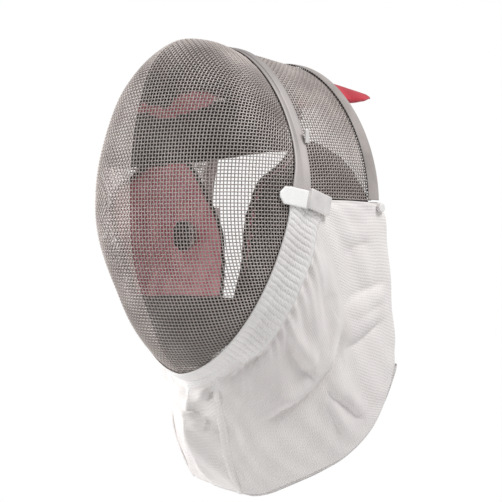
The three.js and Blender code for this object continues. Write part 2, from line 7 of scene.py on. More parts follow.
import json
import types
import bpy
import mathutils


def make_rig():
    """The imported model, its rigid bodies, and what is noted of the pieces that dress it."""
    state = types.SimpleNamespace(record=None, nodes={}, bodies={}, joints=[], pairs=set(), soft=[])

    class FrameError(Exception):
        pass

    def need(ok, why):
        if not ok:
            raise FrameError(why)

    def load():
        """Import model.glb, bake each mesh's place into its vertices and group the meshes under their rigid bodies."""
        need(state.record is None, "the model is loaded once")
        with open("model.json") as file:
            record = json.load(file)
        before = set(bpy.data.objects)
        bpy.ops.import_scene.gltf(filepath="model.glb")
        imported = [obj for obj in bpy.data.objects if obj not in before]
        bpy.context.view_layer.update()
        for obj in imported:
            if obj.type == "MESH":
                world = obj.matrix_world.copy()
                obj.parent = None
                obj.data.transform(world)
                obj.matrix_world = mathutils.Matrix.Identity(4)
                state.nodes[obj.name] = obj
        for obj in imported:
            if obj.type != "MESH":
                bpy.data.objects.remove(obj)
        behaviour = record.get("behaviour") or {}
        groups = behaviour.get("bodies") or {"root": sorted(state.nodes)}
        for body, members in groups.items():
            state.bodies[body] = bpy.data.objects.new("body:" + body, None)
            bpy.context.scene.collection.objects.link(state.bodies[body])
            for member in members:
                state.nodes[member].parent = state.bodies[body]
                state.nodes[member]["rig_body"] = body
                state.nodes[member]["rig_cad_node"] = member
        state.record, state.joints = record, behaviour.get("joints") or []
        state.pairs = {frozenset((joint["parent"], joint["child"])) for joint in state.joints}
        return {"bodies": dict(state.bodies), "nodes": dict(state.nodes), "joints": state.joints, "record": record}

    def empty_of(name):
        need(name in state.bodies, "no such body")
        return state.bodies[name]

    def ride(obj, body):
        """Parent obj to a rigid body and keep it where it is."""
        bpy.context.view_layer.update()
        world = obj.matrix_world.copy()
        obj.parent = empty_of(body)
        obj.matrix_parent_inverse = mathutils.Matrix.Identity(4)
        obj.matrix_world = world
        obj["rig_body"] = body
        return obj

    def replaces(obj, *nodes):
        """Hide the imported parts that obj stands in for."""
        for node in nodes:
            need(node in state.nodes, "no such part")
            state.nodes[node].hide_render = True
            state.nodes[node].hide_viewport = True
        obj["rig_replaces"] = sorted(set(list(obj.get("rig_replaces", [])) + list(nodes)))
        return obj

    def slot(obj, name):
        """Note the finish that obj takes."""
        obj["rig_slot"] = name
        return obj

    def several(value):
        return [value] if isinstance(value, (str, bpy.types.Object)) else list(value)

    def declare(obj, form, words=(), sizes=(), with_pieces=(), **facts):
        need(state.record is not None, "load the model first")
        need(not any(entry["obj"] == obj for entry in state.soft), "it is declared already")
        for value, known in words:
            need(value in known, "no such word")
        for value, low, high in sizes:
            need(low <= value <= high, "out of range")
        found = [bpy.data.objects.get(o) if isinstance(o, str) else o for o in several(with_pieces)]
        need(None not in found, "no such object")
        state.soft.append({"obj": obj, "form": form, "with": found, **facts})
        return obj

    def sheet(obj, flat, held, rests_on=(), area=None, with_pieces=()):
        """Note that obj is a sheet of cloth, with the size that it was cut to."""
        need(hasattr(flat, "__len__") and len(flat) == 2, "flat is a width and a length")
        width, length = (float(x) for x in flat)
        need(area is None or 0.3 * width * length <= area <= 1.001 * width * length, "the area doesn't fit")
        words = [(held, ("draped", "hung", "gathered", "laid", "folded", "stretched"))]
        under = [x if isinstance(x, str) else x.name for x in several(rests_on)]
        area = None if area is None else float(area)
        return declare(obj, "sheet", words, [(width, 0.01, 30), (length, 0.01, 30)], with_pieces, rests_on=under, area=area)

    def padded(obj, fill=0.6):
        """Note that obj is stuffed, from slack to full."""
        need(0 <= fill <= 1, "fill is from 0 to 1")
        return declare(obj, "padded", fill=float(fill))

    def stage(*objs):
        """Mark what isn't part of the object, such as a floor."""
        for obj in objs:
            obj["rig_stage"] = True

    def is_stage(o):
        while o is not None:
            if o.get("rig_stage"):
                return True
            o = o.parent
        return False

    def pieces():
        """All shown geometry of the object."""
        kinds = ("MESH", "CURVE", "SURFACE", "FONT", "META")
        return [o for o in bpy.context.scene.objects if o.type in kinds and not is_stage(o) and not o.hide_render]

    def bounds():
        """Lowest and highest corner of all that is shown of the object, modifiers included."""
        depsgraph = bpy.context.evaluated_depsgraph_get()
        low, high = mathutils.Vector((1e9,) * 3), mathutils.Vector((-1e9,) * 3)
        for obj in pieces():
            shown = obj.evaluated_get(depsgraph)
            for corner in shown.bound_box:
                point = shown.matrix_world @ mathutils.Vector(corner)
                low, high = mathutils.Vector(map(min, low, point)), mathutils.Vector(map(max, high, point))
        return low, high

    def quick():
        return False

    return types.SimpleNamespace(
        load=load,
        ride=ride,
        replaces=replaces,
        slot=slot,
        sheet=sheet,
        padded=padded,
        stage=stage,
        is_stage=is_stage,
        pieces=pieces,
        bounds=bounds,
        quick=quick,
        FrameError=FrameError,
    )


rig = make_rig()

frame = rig.load()
cad_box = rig.bounds()

import json
import math

import bpy
import numpy as np
from mathutils import Vector

MM = 0.001

# Real sizes in millimetres, as in the part.
HALF_WIDTH = 103
DROP_TO_EAR = 136
EAR_FORWARD = 17
CROWN_FORWARD = -1
REAR_REACH = 77
BIB_DROP = 260
BIB_THICKNESS = 4
BAND_LAP = 8
TAPE_LAP = 13
TAPE_FALL = 0.96
RIM_WIDTH = 13
RIM_LAP = 5
LAY_GAP = 0.5
EDGE_GAP = 0.8
SEAT_FORWARD = -8
SEAT_HEIGHT = -14
SEAT_SHIFT = np.array([0, SEAT_FORWARD, -SEAT_HEIGHT])
POLE_SHARE = 0.995

# The camera, level with the middle of the mask, turned to the wearer's left.
CAMERA_TURN = 43
CAMERA_DISTANCE = 1100
CAMERA_SIDE = 21
CAMERA_HEIGHT = -181
PIXELS = 502
PIXELS_PER_MM = 1.1
SENSOR = 36
FLOOR_HEIGHT = -620
FLOOR_RADIUS = 900
FLOOR_SIDES = 96

# The lamps: places to the right of, behind and above the camera's target, in millimetres, sizes in
# metres and power in watts.
WORLD_LIGHT = 0.46
KEY_SPOT = np.array([800.0, 500.0, 1200.0])
KEY_SIZE = 0.6
KEY_POWER = 17
FILL_SPOT = np.array([-1200.0, -150.0, 300.0])
FILL_SIZE = 0.7
FILL_POWER = 15

# The woven wire.
PITCH = 3.0
WIRE_RADIUS = 0.5
REAR_RADIUS = 0.64
REAR_PITCH = 2.7
REAR_ROWS = 30
WEAVE_RISE = 0.5
WIRE_SINK = 1.0
WIRE_SIDES = 5
NET_ROUNDS = 12
NET_STEP = 1.5
NET_SLACK = 0.05
NET_COUNT = 200
NET_REACH = 1.06
# How finely a curve is followed to measure along it.
CURVE_STEPS = 4000


def to_frame(points):
    """Millimetres about the band's top, as x, y, z, to metres about the head's seat."""
    return (np.asarray(points, float) + SEAT_SHIFT) * MM


def blend(before, start, end, after, part):
    """The place at a part of the way from start to end, on a smooth curve through all four."""
    leaving = (end - before) / 2
    arriving = (after - start) / 2
    square = part * part
    cube = square * part
    return (
        start * (2 * cube - 3 * square + 1)
        + leaving * (cube - 2 * square + part)
        + end * (3 * square - 2 * cube)
        + arriving * (cube - square)
    )


def column(values, share):
    """A smooth curve through evenly spaced values, read at shares from 0 to 1."""
    values = np.asarray(values, float)
    last = len(values) - 1
    spot = np.clip(share, 0, 1) * last
    first = np.minimum(np.floor(spot).astype(int), last - 1)
    part = spot - first
    before = values[np.maximum(first - 1, 0)]
    start = values[first]
    end = values[first + 1]
    after = values[np.minimum(first + 2, last)]
    return blend(before, start, end, after, part)


def straight(values, share):
    """The same with straight steps between the values."""
    return np.interp(np.clip(share, 0, 1), np.linspace(0, 1, len(values)), values)


def smooth(low, high, value):
    """Eases from 0 at low to 1 at high, either way round."""
    share = np.clip((value - low) / (high - low), 0, 1)
    return share * share * (3 - 2 * share)


def bell(value, middle, spread):
    """1 at the middle, falling away on both sides."""
    return np.exp(-(((value - middle) / spread) ** 2))


def unit(vectors):
    """Vectors made one long."""
    return vectors / np.maximum(np.linalg.norm(vectors, axis=-1, keepdims=True), 1e-9)


def lengths_along(line):
    """The way along a line up to each of its points."""
    steps = np.linalg.norm(np.diff(line, axis=0), axis=-1)
    return np.concatenate([[0], np.cumsum(steps)])


def read_at(places, length, line):
    """Points of a line at given lengths along it."""
    return np.stack([np.interp(places, length, line[:, axis]) for axis in range(3)], -1)


# The face: arches from ear to ear in planes that turn about the line through the ears.
BAND_ANGLE = 97.4
CHIN_ANGLE = -78.6
FACE_RIDGE = [
    1.015, 1.057, 1.074, 1.021, 0.908, 0.825, 0.773,
    0.752, 0.764, 0.806, 0.864, 0.949, 1.088, 1.184,
]
FACE_FULLNESS = [1.66, 1.79, 1.93, 2.08, 2.26, 2.42, 2.55, 2.6, 2.58, 2.46, 2.3, 2.12, 1.97, 1.85]
FACE_CREASE = [0.03, 0.06, 0.11, 0.18, 0.25, 0.31, 0.34, 0.35, 0.34, 0.31, 0.25, 0.17, 0.09, 0.03]
# The same two for the part's plainer surface, which the pads were made to fit.
PART_FULLNESS = [1.66, 1.78, 1.9, 2.02, 2.14, 2.22, 2.28, 2.3, 2.28, 2.22, 2.14, 2.04, 1.94, 1.85]
PART_CREASE = [0.03, 0.04, 0.06, 0.08, 0.1, 0.12, 0.13, 0.13, 0.13, 0.13, 0.12, 0.1, 0.07, 0.03]


def arch(fullness, share):
    """How far out and how far up an arch is, at shares from -1 to 1 along it."""
    turn = np.abs(share) * math.pi / 2
    side = np.sin(turn) ** (2 / fullness)
    up = np.maximum(np.cos(turn), 0) ** (2 / fullness)
    return side, up


def face_reach(around, across):
    side, up = arch(column(FACE_FULLNESS, around), across)
    crease = column(FACE_CREASE, around) * side * (1 - side)
    return side, column(FACE_RIDGE, around) * DROP_TO_EAR * up * (1 - crease)


def face_point(around, across):
    """around: 0 at the band, 1 at the chin. across: -1 right ear, 0 crease, 1 left ear."""
    around, across = np.broadcast_arrays(np.asarray(around, float), np.asarray(across, float))
    angle = np.radians(BAND_ANGLE + (CHIN_ANGLE - BAND_ANGLE) * around)
    side, reach = face_reach(around, across)
    forward = EAR_FORWARD + reach * np.cos(angle)
    height = -DROP_TO_EAR + reach * np.sin(angle)
    return np.stack([np.sign(across) * HALF_WIDTH * side, -forward, height], -1)


def face_angle(points):
    forward = -points[..., 1] - EAR_FORWARD
    up = points[..., 2] + DROP_TO_EAR
    return np.degrees(np.arctan2(up, forward)), np.hypot(up, forward)


def face_level(points):
    """0 on the face's surface, above 0 outside it."""
    angle, reach = face_angle(points)
    around = (BAND_ANGLE - angle) / (BAND_ANGLE - CHIN_ANGLE)
    side = np.abs(points[..., 0]) / HALF_WIDTH
    fullness = column(FACE_FULLNESS, around)
    crease = column(FACE_CREASE, around) * side * np.maximum(1 - side, 0)
    ridge = column(FACE_RIDGE, around) * DROP_TO_EAR * (1 - crease)
    return (reach / ridge) ** fullness + side**fullness - 1


def face_share(side, fullness, crease):
    """How far the face reaches at a side share, as a share of its ridge."""
    return (1 - side**fullness) ** (1 / fullness) * (1 - crease * side * (1 - side))


def follow_crease(points):
    """Points made for the part's surface, carried along with the sharper crease of the wire."""
    angle, reach = face_angle(points)
    around = (BAND_ANGLE - angle) / (BAND_ANGLE - CHIN_ANGLE)
    side = np.clip(np.abs(points[..., 0]) / HALF_WIDTH, 0, 0.9)
    now = face_share(side, column(FACE_FULLNESS, around), column(FACE_CREASE, around))
    before = face_share(side, column(PART_FULLNESS, around), column(PART_CREASE, around))
    inside = smooth(-0.02, 0.03, around) * smooth(-0.02, 0.03, 1 - around)
    change = 1 + (now / before - 1) * inside
    turn = np.radians(angle)
    forward = EAR_FORWARD + reach * change * np.cos(turn)
    height = -DROP_TO_EAR + reach * change * np.sin(turn)
    return np.stack([points[..., 0], -forward, height], -1)


def slope(level, points):
    """The gradient of a level function at points."""
    step = 0.01
    out = []
    for axis in np.eye(3) * step:
        out.append((level(points + axis) - level(points - axis)) / (2 * step))
    return np.stack(out, -1)


# The rear shell: the band's arch carried back.
REAR_RISE = [1.015, 1.0, 0.98, 0.965]
REAR_WIDTH = [1.0, 1.025, 1.03, 1.015]
REAR_FULLNESS = [1.66, 1.76, 1.82, 1.86]


def rear_point(back, along):
    """back: 0 at the band, 1 at the rear edge. along: -1 right edge, 0 top, 1 left edge."""
    back, along = np.broadcast_arrays(np.asarray(back, float), np.asarray(along, float))
    side, up = arch(column(REAR_FULLNESS, back), along)
    start = EAR_FORWARD + (CROWN_FORWARD - EAR_FORWARD) * up
    forward = start + (-REAR_REACH - start) * back
    height = -DROP_TO_EAR + column(REAR_RISE, back) * DROP_TO_EAR * up
    width = column(REAR_WIDTH, back) * HALF_WIDTH
    return np.stack([np.sign(along) * width * side, -forward, height], -1)


# The bib: columns from the middle of the front round to the rear edge. ACROSS and BACK say where
# each one starts at the meshes; the levels below it are across and forward in half widths, and
# down in bib drops from the ear.
BIB_ACROSS = [0, 0.194, 0.308, 0.461, 0.632, 0.808, 1, 1, 1]
BIB_BACK = [0, 0, 0, 0, 0, 0, 0, 0.6, 1.17]
BIB_LEVELS = [
    {
        "across": [0, 0.262, 0.46, 0.718, 0.893, 1.01, 1.039, 1.058, 1.039],
        "forward": [0.51, 0.41, 0.32, 0.262, 0.175, 0.058, -0.058, -0.45, -0.942],
        "down": [0.677, 0.642, 0.562, 0.485, 0.369, 0.215, 0.075, 0.085, 0.092],
    },
    {
        "across": [0, 0.311, 0.447, 0.621, 0.816, 0.971, 1.049, 1.078, 1.078],
        "forward": [0.553, 0.374, 0.252, 0.078, -0.097, -0.243, -0.408, -0.699, -0.961],
        "down": [0.765, 0.765, 0.746, 0.727, 0.65, 0.554, 0.438, 0.362, 0.304],
    },
    {
        "across": [0, 0.291, 0.427, 0.621, 0.816, 0.981, 1.058, 1.087, 1.097],
        "forward": [0.427, 0.272, 0.136, -0.058, -0.252, -0.408, -0.583, -0.816, -0.981],
        "down": [0.885, 0.9, 0.9, 0.881, 0.823, 0.765, 0.688, 0.592, 0.485],
    },
    {
        "across": [0, 0.291, 0.447, 0.621, 0.796, 0.942, 1.029, 1.068, 1.097],
        "forward": [0.184, 0.136, 0.019, -0.136, -0.33, -0.524, -0.738, -0.893, -0.981],
        "down": [0.985, 1, 1, 0.963, 0.92, 0.869, 0.788, 0.685, 0.573],
    },
]
SEAM_COLUMN = 1 / 8
SEAM_GAP = 0.005
RIGHT_HEM_LIFT = 13
LIFT_AROUND = 0.2
LIFT_SPREAD = 0.13
BIB_LENGTH = 330

# Folds of the side panels: the places each one runs through, in shares round and down the bib,
# its depth, and the rise of the cloth on the right-hand side of the way it runs, in millimetres.
FOLDS = [
    ([(0.74, 0.455), (0.755, 0.443), (0.84, 0.443), (0.97, 0.46)], 3.2, 1.5),
    ([(0.745, 0.44), (0.723, 0.477), (0.672, 0.503), (0.63, 0.517), (0.565, 0.513), (0.483, 0.517),
      (0.402, 0.503), (0.305, 0.5)], 4.6, 3.4),
    ([(0.575, 0.518), (0.508, 0.433), (0.47, 0.363), (0.45, 0.273)], 3.4, 3.0),
    ([(0.745, 0.853), (0.665, 0.693), (0.61, 0.61), (0.565, 0.515)], 2.6, 1.0),
    ([(0.94, 0.58), (0.777, 0.553), (0.677, 0.51)], 2.8, 1.6),
    ([(0.935, 0.313), (0.86, 0.325), (0.8, 0.353)], 1.5, 0.8),
    ([(0.73, 0.413), (0.68, 0.385), (0.622, 0.363)], 1.3, 0.8),
    ([(0.608, 0.81), (0.585, 0.663), (0.56, 0.563)], 1.2, 1.0),
]
# Front panel folds, with shares round from the middle, the wearer's right below 0.
FRONT_FOLDS = [
    ([(0.105, 0.16), (0.1, 0.24), (0.088, 0.31)], 2.4, 1.0),
    ([(-0.1, 0.37), (-0.02, 0.355), (0.04, 0.36), (0.09, 0.455)], 2.0, 1.6),
    ([(0.084, 0.41), (0.073, 0.473), (0.065, 0.54)], 2.6, 1.0),
]
FOLD_STRENGTH = 1.35
STEEP_SPREAD = 2.6
EASY_SPREAD = 8.0
RISE_AWAY = 10.0
RISE_SPREAD = 7.0
END_SHARE = 0.3


def fold_level(folds, around, down):
    """How far the folds carry the cloth in or out, in millimetres."""
    around, down = np.broadcast_arrays(around, down)
    deepest = np.zeros(around.shape)
    raised = np.zeros(around.shape)
    for places, deep, rise in folds:
        spots = np.array(places) * np.array([BIB_LENGTH, BIB_DROP])
        starts = lengths_along(spots)
        nearest = np.full(around.shape, 1e9)
        signed = np.zeros(around.shape)
        passed = np.zeros(around.shape)
        for index, length in enumerate(np.diff(starts)):
            way = (spots[index + 1] - spots[index]) / length
            from_round = around * BIB_LENGTH - spots[index, 0]
            from_down = down * BIB_DROP - spots[index, 1]
            along = np.clip(from_round * way[0] + from_down * way[1], 0, length)
            away = np.hypot(from_round - along * way[0], from_down - along * way[1])
            side = way[0] * from_down - way[1] * from_round
            closer = away < nearest
            nearest = np.where(closer, away, nearest)
            signed = np.where(closer, np.where(side > 0, away, -away), signed)
            passed = np.where(closer, starts[index] + along, passed)
        share = passed / starts[-1]
        taper = smooth(0, END_SHARE, share) * smooth(0, END_SHARE, 1 - share)
        spread = np.where(signed > 0, STEEP_SPREAD, EASY_SPREAD)
        deepest = np.maximum(deepest, taper * deep * np.exp(-nearest / spread))
        hump = bell(signed, RISE_AWAY, RISE_SPREAD)
        raised = np.maximum(raised, taper * rise * hump)
    return FOLD_STRENGTH * (raised - deepest)


def through(levels, share):
    """The smooth curve of column, through levels that differ from point to point."""
    last = len(levels) - 1
    spot = np.clip(share, 0, 1) * last
    first = np.minimum(np.floor(spot).astype(int), last - 1)
    part = (spot - first)[..., None]

    def at(index):
        index = np.clip(index, 0, last)[None, ..., None]
        return np.take_along_axis(levels, np.broadcast_to(index, (1,) + levels.shape[1:]), 0)[0]

    before, start, end, after = at(first - 1), at(first), at(first + 1), at(first + 2)
    return blend(before, start, end, after, part)


def bib_point(side, around, down):
    """side: 1 left, -1 right. around: 0 at the front to 1 at the rear edge. down: 0 to 1."""
    side, around, down = np.broadcast_arrays(side, np.asarray(around, float), np.asarray(down, float))
    back = straight(BIB_BACK, around)
    on_face = face_point(1, straight(BIB_ACROSS, around))
    on_rear = rear_point(back, 1)
    edge = np.where((back > 0)[..., None], on_rear, on_face)
    edge = edge - np.array([0, 0, EDGE_GAP])
    levels = [edge]
    for level in BIB_LEVELS:
        across = HALF_WIDTH * column(level["across"], around)
        forward = HALF_WIDTH * column(level["forward"], around)
        height = -DROP_TO_EAR - BIB_DROP * column(level["down"], around)
        levels.append(np.stack([across, -forward, height], -1))
    point = through(np.stack(levels), down)
    near_front = bell(around, LIFT_AROUND, LIFT_SPREAD)
    lift = np.where(side < 0, RIGHT_HEM_LIFT * near_front * np.maximum(down - 0.5, 0) * 2, 0)
    return np.stack([side * point[..., 0], point[..., 1], point[..., 2] + lift], -1)


def normals_of(points, facing):
    """Outward directions of a grid of points, rows running down and columns along."""
    down = np.gradient(points, axis=0)
    along = np.gradient(points, axis=1)
    return unit(np.cross(down, along) * facing)


LAP_LIMIT = 0.42


def lap_share(around, across, width):
    """A width on the face, in millimetres, as a share round it."""
    reach = face_reach(around, across)[1]
    sweep = math.radians(BAND_ANGLE - CHIN_ANGLE)
    return np.minimum(width / np.maximum(reach * sweep, 1), LAP_LIMIT)


# Making meshes.
def new_mesh(name, points, faces, uvs=None):
    """A smooth mesh object in the part's frame, from points in millimetres."""
    mesh = bpy.data.meshes.new(name)
    mesh.from_pydata(to_frame(points).tolist(), [], np.asarray(faces).tolist())
    if uvs is not None:
        layer = mesh.uv_layers.new(name="cloth")
        corners = np.zeros(len(mesh.loops), int)
        mesh.loops.foreach_get("vertex_index", corners)
        layer.data.foreach_set("uv", (np.asarray(uvs, float)[corners] * MM).ravel())
    mesh.shade_smooth()
    piece = bpy.data.objects.new(name, mesh)
    bpy.context.scene.collection.objects.link(piece)
    return piece


def quads_of(rows, columns, start=0):
    """The faces of a grid of rows by columns of points."""
    corner = (np.arange(rows - 1)[:, None] * columns + np.arange(columns - 1)[None, :]).ravel() + start
    return np.stack([corner, corner + columns, corner + columns + 1, corner + 1], -1)


def sheet_mesh(name, points, inner, outer, facing):
    """A closed sheet between two offsets of a grid of points, in millimetres."""
    rows, columns = points.shape[:2]
    normal = normals_of(points, facing)
    inner = np.broadcast_to(inner, (rows, columns))[..., None]
    outer = np.broadcast_to(outer, (rows, columns))[..., None]
    both = np.stack([points + normal * outer, points + normal * inner]).reshape(-1, 3)
    layer = rows * columns
    top = quads_of(rows, columns)
    bottom = quads_of(rows, columns, layer)[:, ::-1]
    grid = np.arange(layer).reshape(rows, columns)
    ring = np.concatenate([grid[0, :-1], grid[:-1, -1], grid[-1, :0:-1], grid[:0:-1, 0]])
    following = np.roll(ring, -1)
    walls = np.stack([ring, following, layer + following, layer + ring], -1)
    faces = np.concatenate([top, bottom, walls])
    if facing < 0:
        faces = faces[:, ::-1]
    step_down = np.linalg.norm(np.diff(points, axis=0), axis=-1)
    step_along = np.linalg.norm(np.diff(points, axis=1), axis=-1)
    down = np.concatenate([np.zeros((1, columns)), np.cumsum(step_down, 0)])
    along = np.concatenate([np.zeros((rows, 1)), np.cumsum(step_along, 1)], 1)
    flat = np.stack([along, down], -1).reshape(-1, 2)
    return new_mesh(name, both, faces, np.concatenate([flat, flat]))


def tubes(name, paths, radius, sides):
    """Wires along paths, each given as its points and the outward directions there."""
    points, faces, start = [], [], 0
    turns = np.arange(sides) * 2 * math.pi / sides
    for path, up in paths:
        count = len(path)
        if count < 3:
            continue
        tangent = unit(np.gradient(path, axis=0))
        beside = unit(np.cross(tangent, up))
        above = np.cross(beside, tangent)
        ring = np.cos(turns)[:, None] * beside[:, None] + np.sin(turns)[:, None] * above[:, None]
        points.append((path[:, None] + ring * radius).reshape(-1, 3))
        row = np.arange(count - 1)[:, None] * sides
        step = np.arange(sides)[None, :]
        following = (step + 1) % sides
        corners = [row + step, row + following, row + sides + following, row + sides + step]
        faces.append(np.stack(np.broadcast_arrays(*corners), -1).reshape(-1, 4) + start)
        start += count * sides
    return new_mesh(name, np.concatenate(points), np.concatenate(faces))


# Making materials.
def shader_of(material):
    return material.node_tree.nodes["Principled BSDF"]


def looks(name, colour, roughness, metallic=0.0):
    material = bpy.data.materials.new(name)
    material.use_nodes = True
    shader = shader_of(material)
    shader.inputs["Base Color"].default_value = (*colour, 1)
    shader.inputs["Roughness"].default_value = roughness
    shader.inputs["Metallic"].default_value = metallic
    return material


def add_node(material, kind, **values):
    node = material.node_tree.nodes.new(kind)
    for name, value in values.items():
        if name in node.inputs:
            node.inputs[name].default_value = value
        else:
            setattr(node, name, value)
    return node


def join(material, source, output, target, socket):
    material.node_tree.links.new(source.outputs[output], target.inputs[socket])


def add_ramp(material, *stops):
    """A colour ramp with two stops, each a position and a colour."""
    ramp = add_node(material, "ShaderNodeValToRGB")
    for element, (position, colour) in zip(ramp.color_ramp.elements, stops):
        element.position = position
        element.color = (*colour, 1)
    return ramp


def add_noise(material, scale, detail):
    """A noise fixed to the piece."""
    place = add_node(material, "ShaderNodeTexCoord")
    noise = add_node(material, "ShaderNodeTexNoise", Scale=scale, Detail=detail)
    join(material, place, "Object", noise, "Vector")
    return noise


def vary(material, light, dark, scale):
    """Lets the base colour drift between two colours over the surface."""
    noise = add_noise(material, scale, 4.0)
    ramp = add_ramp(material, (0.35, dark), (0.65, light))
    join(material, noise, "Fac", ramp, "Fac")
    join(material, ramp, "Color", shader_of(material), "Base Color")


def grain(material, scale, strength):
    """A fine bump over the surface."""
    noise = add_noise(material, scale, 3.0)
    bump = add_node(material, "ShaderNodeBump", Strength=strength, Distance=GRAIN_DEPTH)
    join(material, noise, "Fac", bump, "Height")
    join(material, bump, "Normal", shader_of(material), "Normal")


# A wave texture of scale 1 turns through this many radians in a metre.
RADIANS_PER_SCALE = 20
# Depths of the bumps, in metres.
GRAIN_DEPTH = 0.0003
RIB_DEPTH = 0.0005


def ribs(material, across, along, strength, groove):
    """A ribbed weave: waves across the cloth's length and along it, in radians per metre.

    groove is the share of the colour that is left between the ribs, as painted shade in the grooves.
    """
    shader = shader_of(material)
    place = add_node(material, "ShaderNodeTexCoord")
    height = None
    for scale, direction in ((across, "Y"), (along, "X")):
        wave = add_node(material, "ShaderNodeTexWave", Scale=scale / RADIANS_PER_SCALE, Distortion=0.8)
        wave.bands_direction = direction
        join(material, place, "UV", wave, "Vector")
        if height is None:
            height = wave
        else:
            mixed = add_node(material, "ShaderNodeMath", operation="MULTIPLY_ADD")
            mixed.inputs[1].default_value = 0.5
            join(material, wave, "Fac", mixed, 0)
            join(material, height, "Fac", mixed, 2)
            height = mixed
    bump = add_node(material, "ShaderNodeBump", Strength=strength, Distance=RIB_DEPTH)
    join(material, height, 0, bump, "Height")
    join(material, bump, "Normal", shader, "Normal")
    # Painted shade: the colour darkens in the grooves between the ribs.
    painted_groove_shade = add_ramp(material, (0.2, (groove, groove, groove)), (0.9, (1, 1, 1)))
    join(material, height, 0, painted_groove_shade, "Fac")
    mix = add_node(material, "ShaderNodeMixRGB", blend_type="MULTIPLY", Fac=1.0)
    source = shader.inputs["Base Color"].links[0].from_socket
    material.node_tree.links.new(source, mix.inputs["Color1"])
    join(material, painted_groove_shade, "Color", mix, "Color2")
    join(material, mix, "Color", shader, "Base Color")


def cloth_sheen(material, weight):
    shader = shader_of(material)
    shader.inputs["Sheen Weight"].default_value = weight
    shader.inputs["Sheen Roughness"].default_value = 0.5


# Painted shade: the band's colour darkens towards its top, standing in for the dim reflection of the studio above the
# satin metal. The two heights in metres, and the share of the colour that is left at the upper one.
SHADE_LOW = -0.13
SHADE_HIGH = -0.02
SHADE_SHARE = 0.62


def painted_shade_above(material):
    """Paints shade: scales the base colour down with height."""
    shader = shader_of(material)
    place = add_node(material, "ShaderNodeTexCoord")
    parts = add_node(material, "ShaderNodeSeparateXYZ")
    level = add_node(material, "ShaderNodeMapRange")
    level.inputs["From Min"].default_value = SHADE_LOW
    level.inputs["From Max"].default_value = SHADE_HIGH
    level.inputs["To Min"].default_value = 1.0
    level.inputs["To Max"].default_value = SHADE_SHARE
    scaled = add_node(material, "ShaderNodeVectorMath", operation="SCALE")
    colour = shader.inputs["Base Color"].links[0].from_socket
    material.node_tree.links.new(colour, scaled.inputs["Vector"])
    join(material, place, "Object", parts, "Vector")
    join(material, parts, "Z", level, "Value")
    join(material, level, "Result", scaled, "Scale")
    join(material, scaled, "Vector", shader, "Base Color")


# Each plain material: colour, lighter and darker colour, how fine those patches are, roughness,
# share of metal, how fine and how strong its grain is, and its sheen.
PLAIN_LOOKS = {
    "wire": (
        (0.5, 0.455, 0.435), (0.56, 0.505, 0.48), (0.4, 0.355, 0.335), 25, 0.5, 0.35, 900, 0.25, 0,
    ),
    "frame_metal": (
        (0.6, 0.555, 0.545), (0.66, 0.61, 0.6), (0.54, 0.5, 0.49), 18, 0.6, 0.45, 1500, 0.1, 0,
    ),
    "clip_metal": (
        (0.86, 0.84, 0.83), (0.9, 0.87, 0.86), (0.74, 0.72, 0.71), 60, 0.35, 0.35, 1200, 0.2, 0,
    ),
    "rim_binding": (
        (0.34, 0.31, 0.3), (0.4, 0.365, 0.35), (0.29, 0.262, 0.25), 30, 0.7, 0, 1800, 0.4, 0,
    ),
    "tab_tape": (
        (0.93, 0.925, 0.92), (0.95, 0.945, 0.94), (0.9, 0.895, 0.89), 60, 0.45, 0, 1800, 0.25, 0,
    ),
    "dark_cloth": (
        (0.025, 0.023, 0.024), (0.035, 0.033, 0.034), (0.015, 0.014, 0.015), 40, 0.9, 0, 900, 0.6, 0.1,
    ),
    "pad_cloth": (
        (0.6, 0.2, 0.23), (0.72, 0.3, 0.33), (0.5, 0.12, 0.16), 60, 0.9, 0, 900, 0.6, 0.2,
    ),
    "red_cloth": (
        (0.52, 0.012, 0.04), (0.56, 0.03, 0.055), (0.4, 0.008, 0.025), 30, 0.9, 0, 900, 0.6, 0.2,
    ),
}


def plain_looks(name):
    colour, light, dark, patches, roughness, metallic, fine, strength, sheen = PLAIN_LOOKS[name]
    material = looks(name, colour, roughness, metallic)
    vary(material, light, dark, patches)
    grain(material, fine, strength)
    if sheen:
        cloth_sheen(material, sheen)
    return material


# Each ribbed cloth: colour, roughness, lighter and darker colour, how fine those patches are, the numbers of its ribs
# with the strength of their bump and the share of colour left as painted shade in their grooves, and its sheen.
RIBBED_LOOKS = {
    "bib_cloth": (
        (0.8, 0.77, 0.755), 0.92, (0.83, 0.8, 0.785), (0.74, 0.7, 0.69), 14,
        (2100, 2850, 0.4, 0.96), 0.15,
    ),
    "white_tape": (
        (0.82, 0.8, 0.79), 0.8, (0.86, 0.84, 0.83), (0.77, 0.745, 0.735), 40,
        (3000, 1400, 0.5, 0.93), 0.1,
    ),
}


def ribbed_looks(name):
    colour, roughness, light, dark, patches, weave, sheen = RIBBED_LOOKS[name]
    material = looks(name, colour, roughness)
    vary(material, light, dark, patches)
    ribs(material, *weave)
    cloth_sheen(material, sheen)
    return material


WIRE = plain_looks("wire")
BAND = plain_looks("frame_metal")
# The band's colour is scaled down towards its top: painted shade.
painted_shade_above(BAND)
CLIP = plain_looks("clip_metal")
RIM = plain_looks("rim_binding")
BIB = ribbed_looks("bib_cloth")
TAPE = ribbed_looks("white_tape")
TAB = plain_looks("tab_tape")
DARK = plain_looks("dark_cloth")
PAD = plain_looks("pad_cloth")
RED = plain_looks("red_cloth")


def dress(piece, material, slot, *nodes):
    """Gives a piece its material and place in the part's table."""
    piece.data.materials.clear()
    piece.data.materials.append(material)
    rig.ride(piece, "root")
    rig.slot(piece, slot)
    if nodes:
        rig.replaces(piece, *nodes)
    return piece


# The sheets as they were cut: width and length in metres, area in square metres.
FLAT = {
    "bib_front_panel": (0.072, 0.116, 0.0069),
    "bib_side_panel_left": (0.286, 0.23, 0.0351),
    "bib_side_panel_right": (0.286, 0.23, 0.0347),
    "bib_tape": (0.429, 0.042, 0.013),
    "rear_rim": (0.366, 0.016, 0.0051),
}


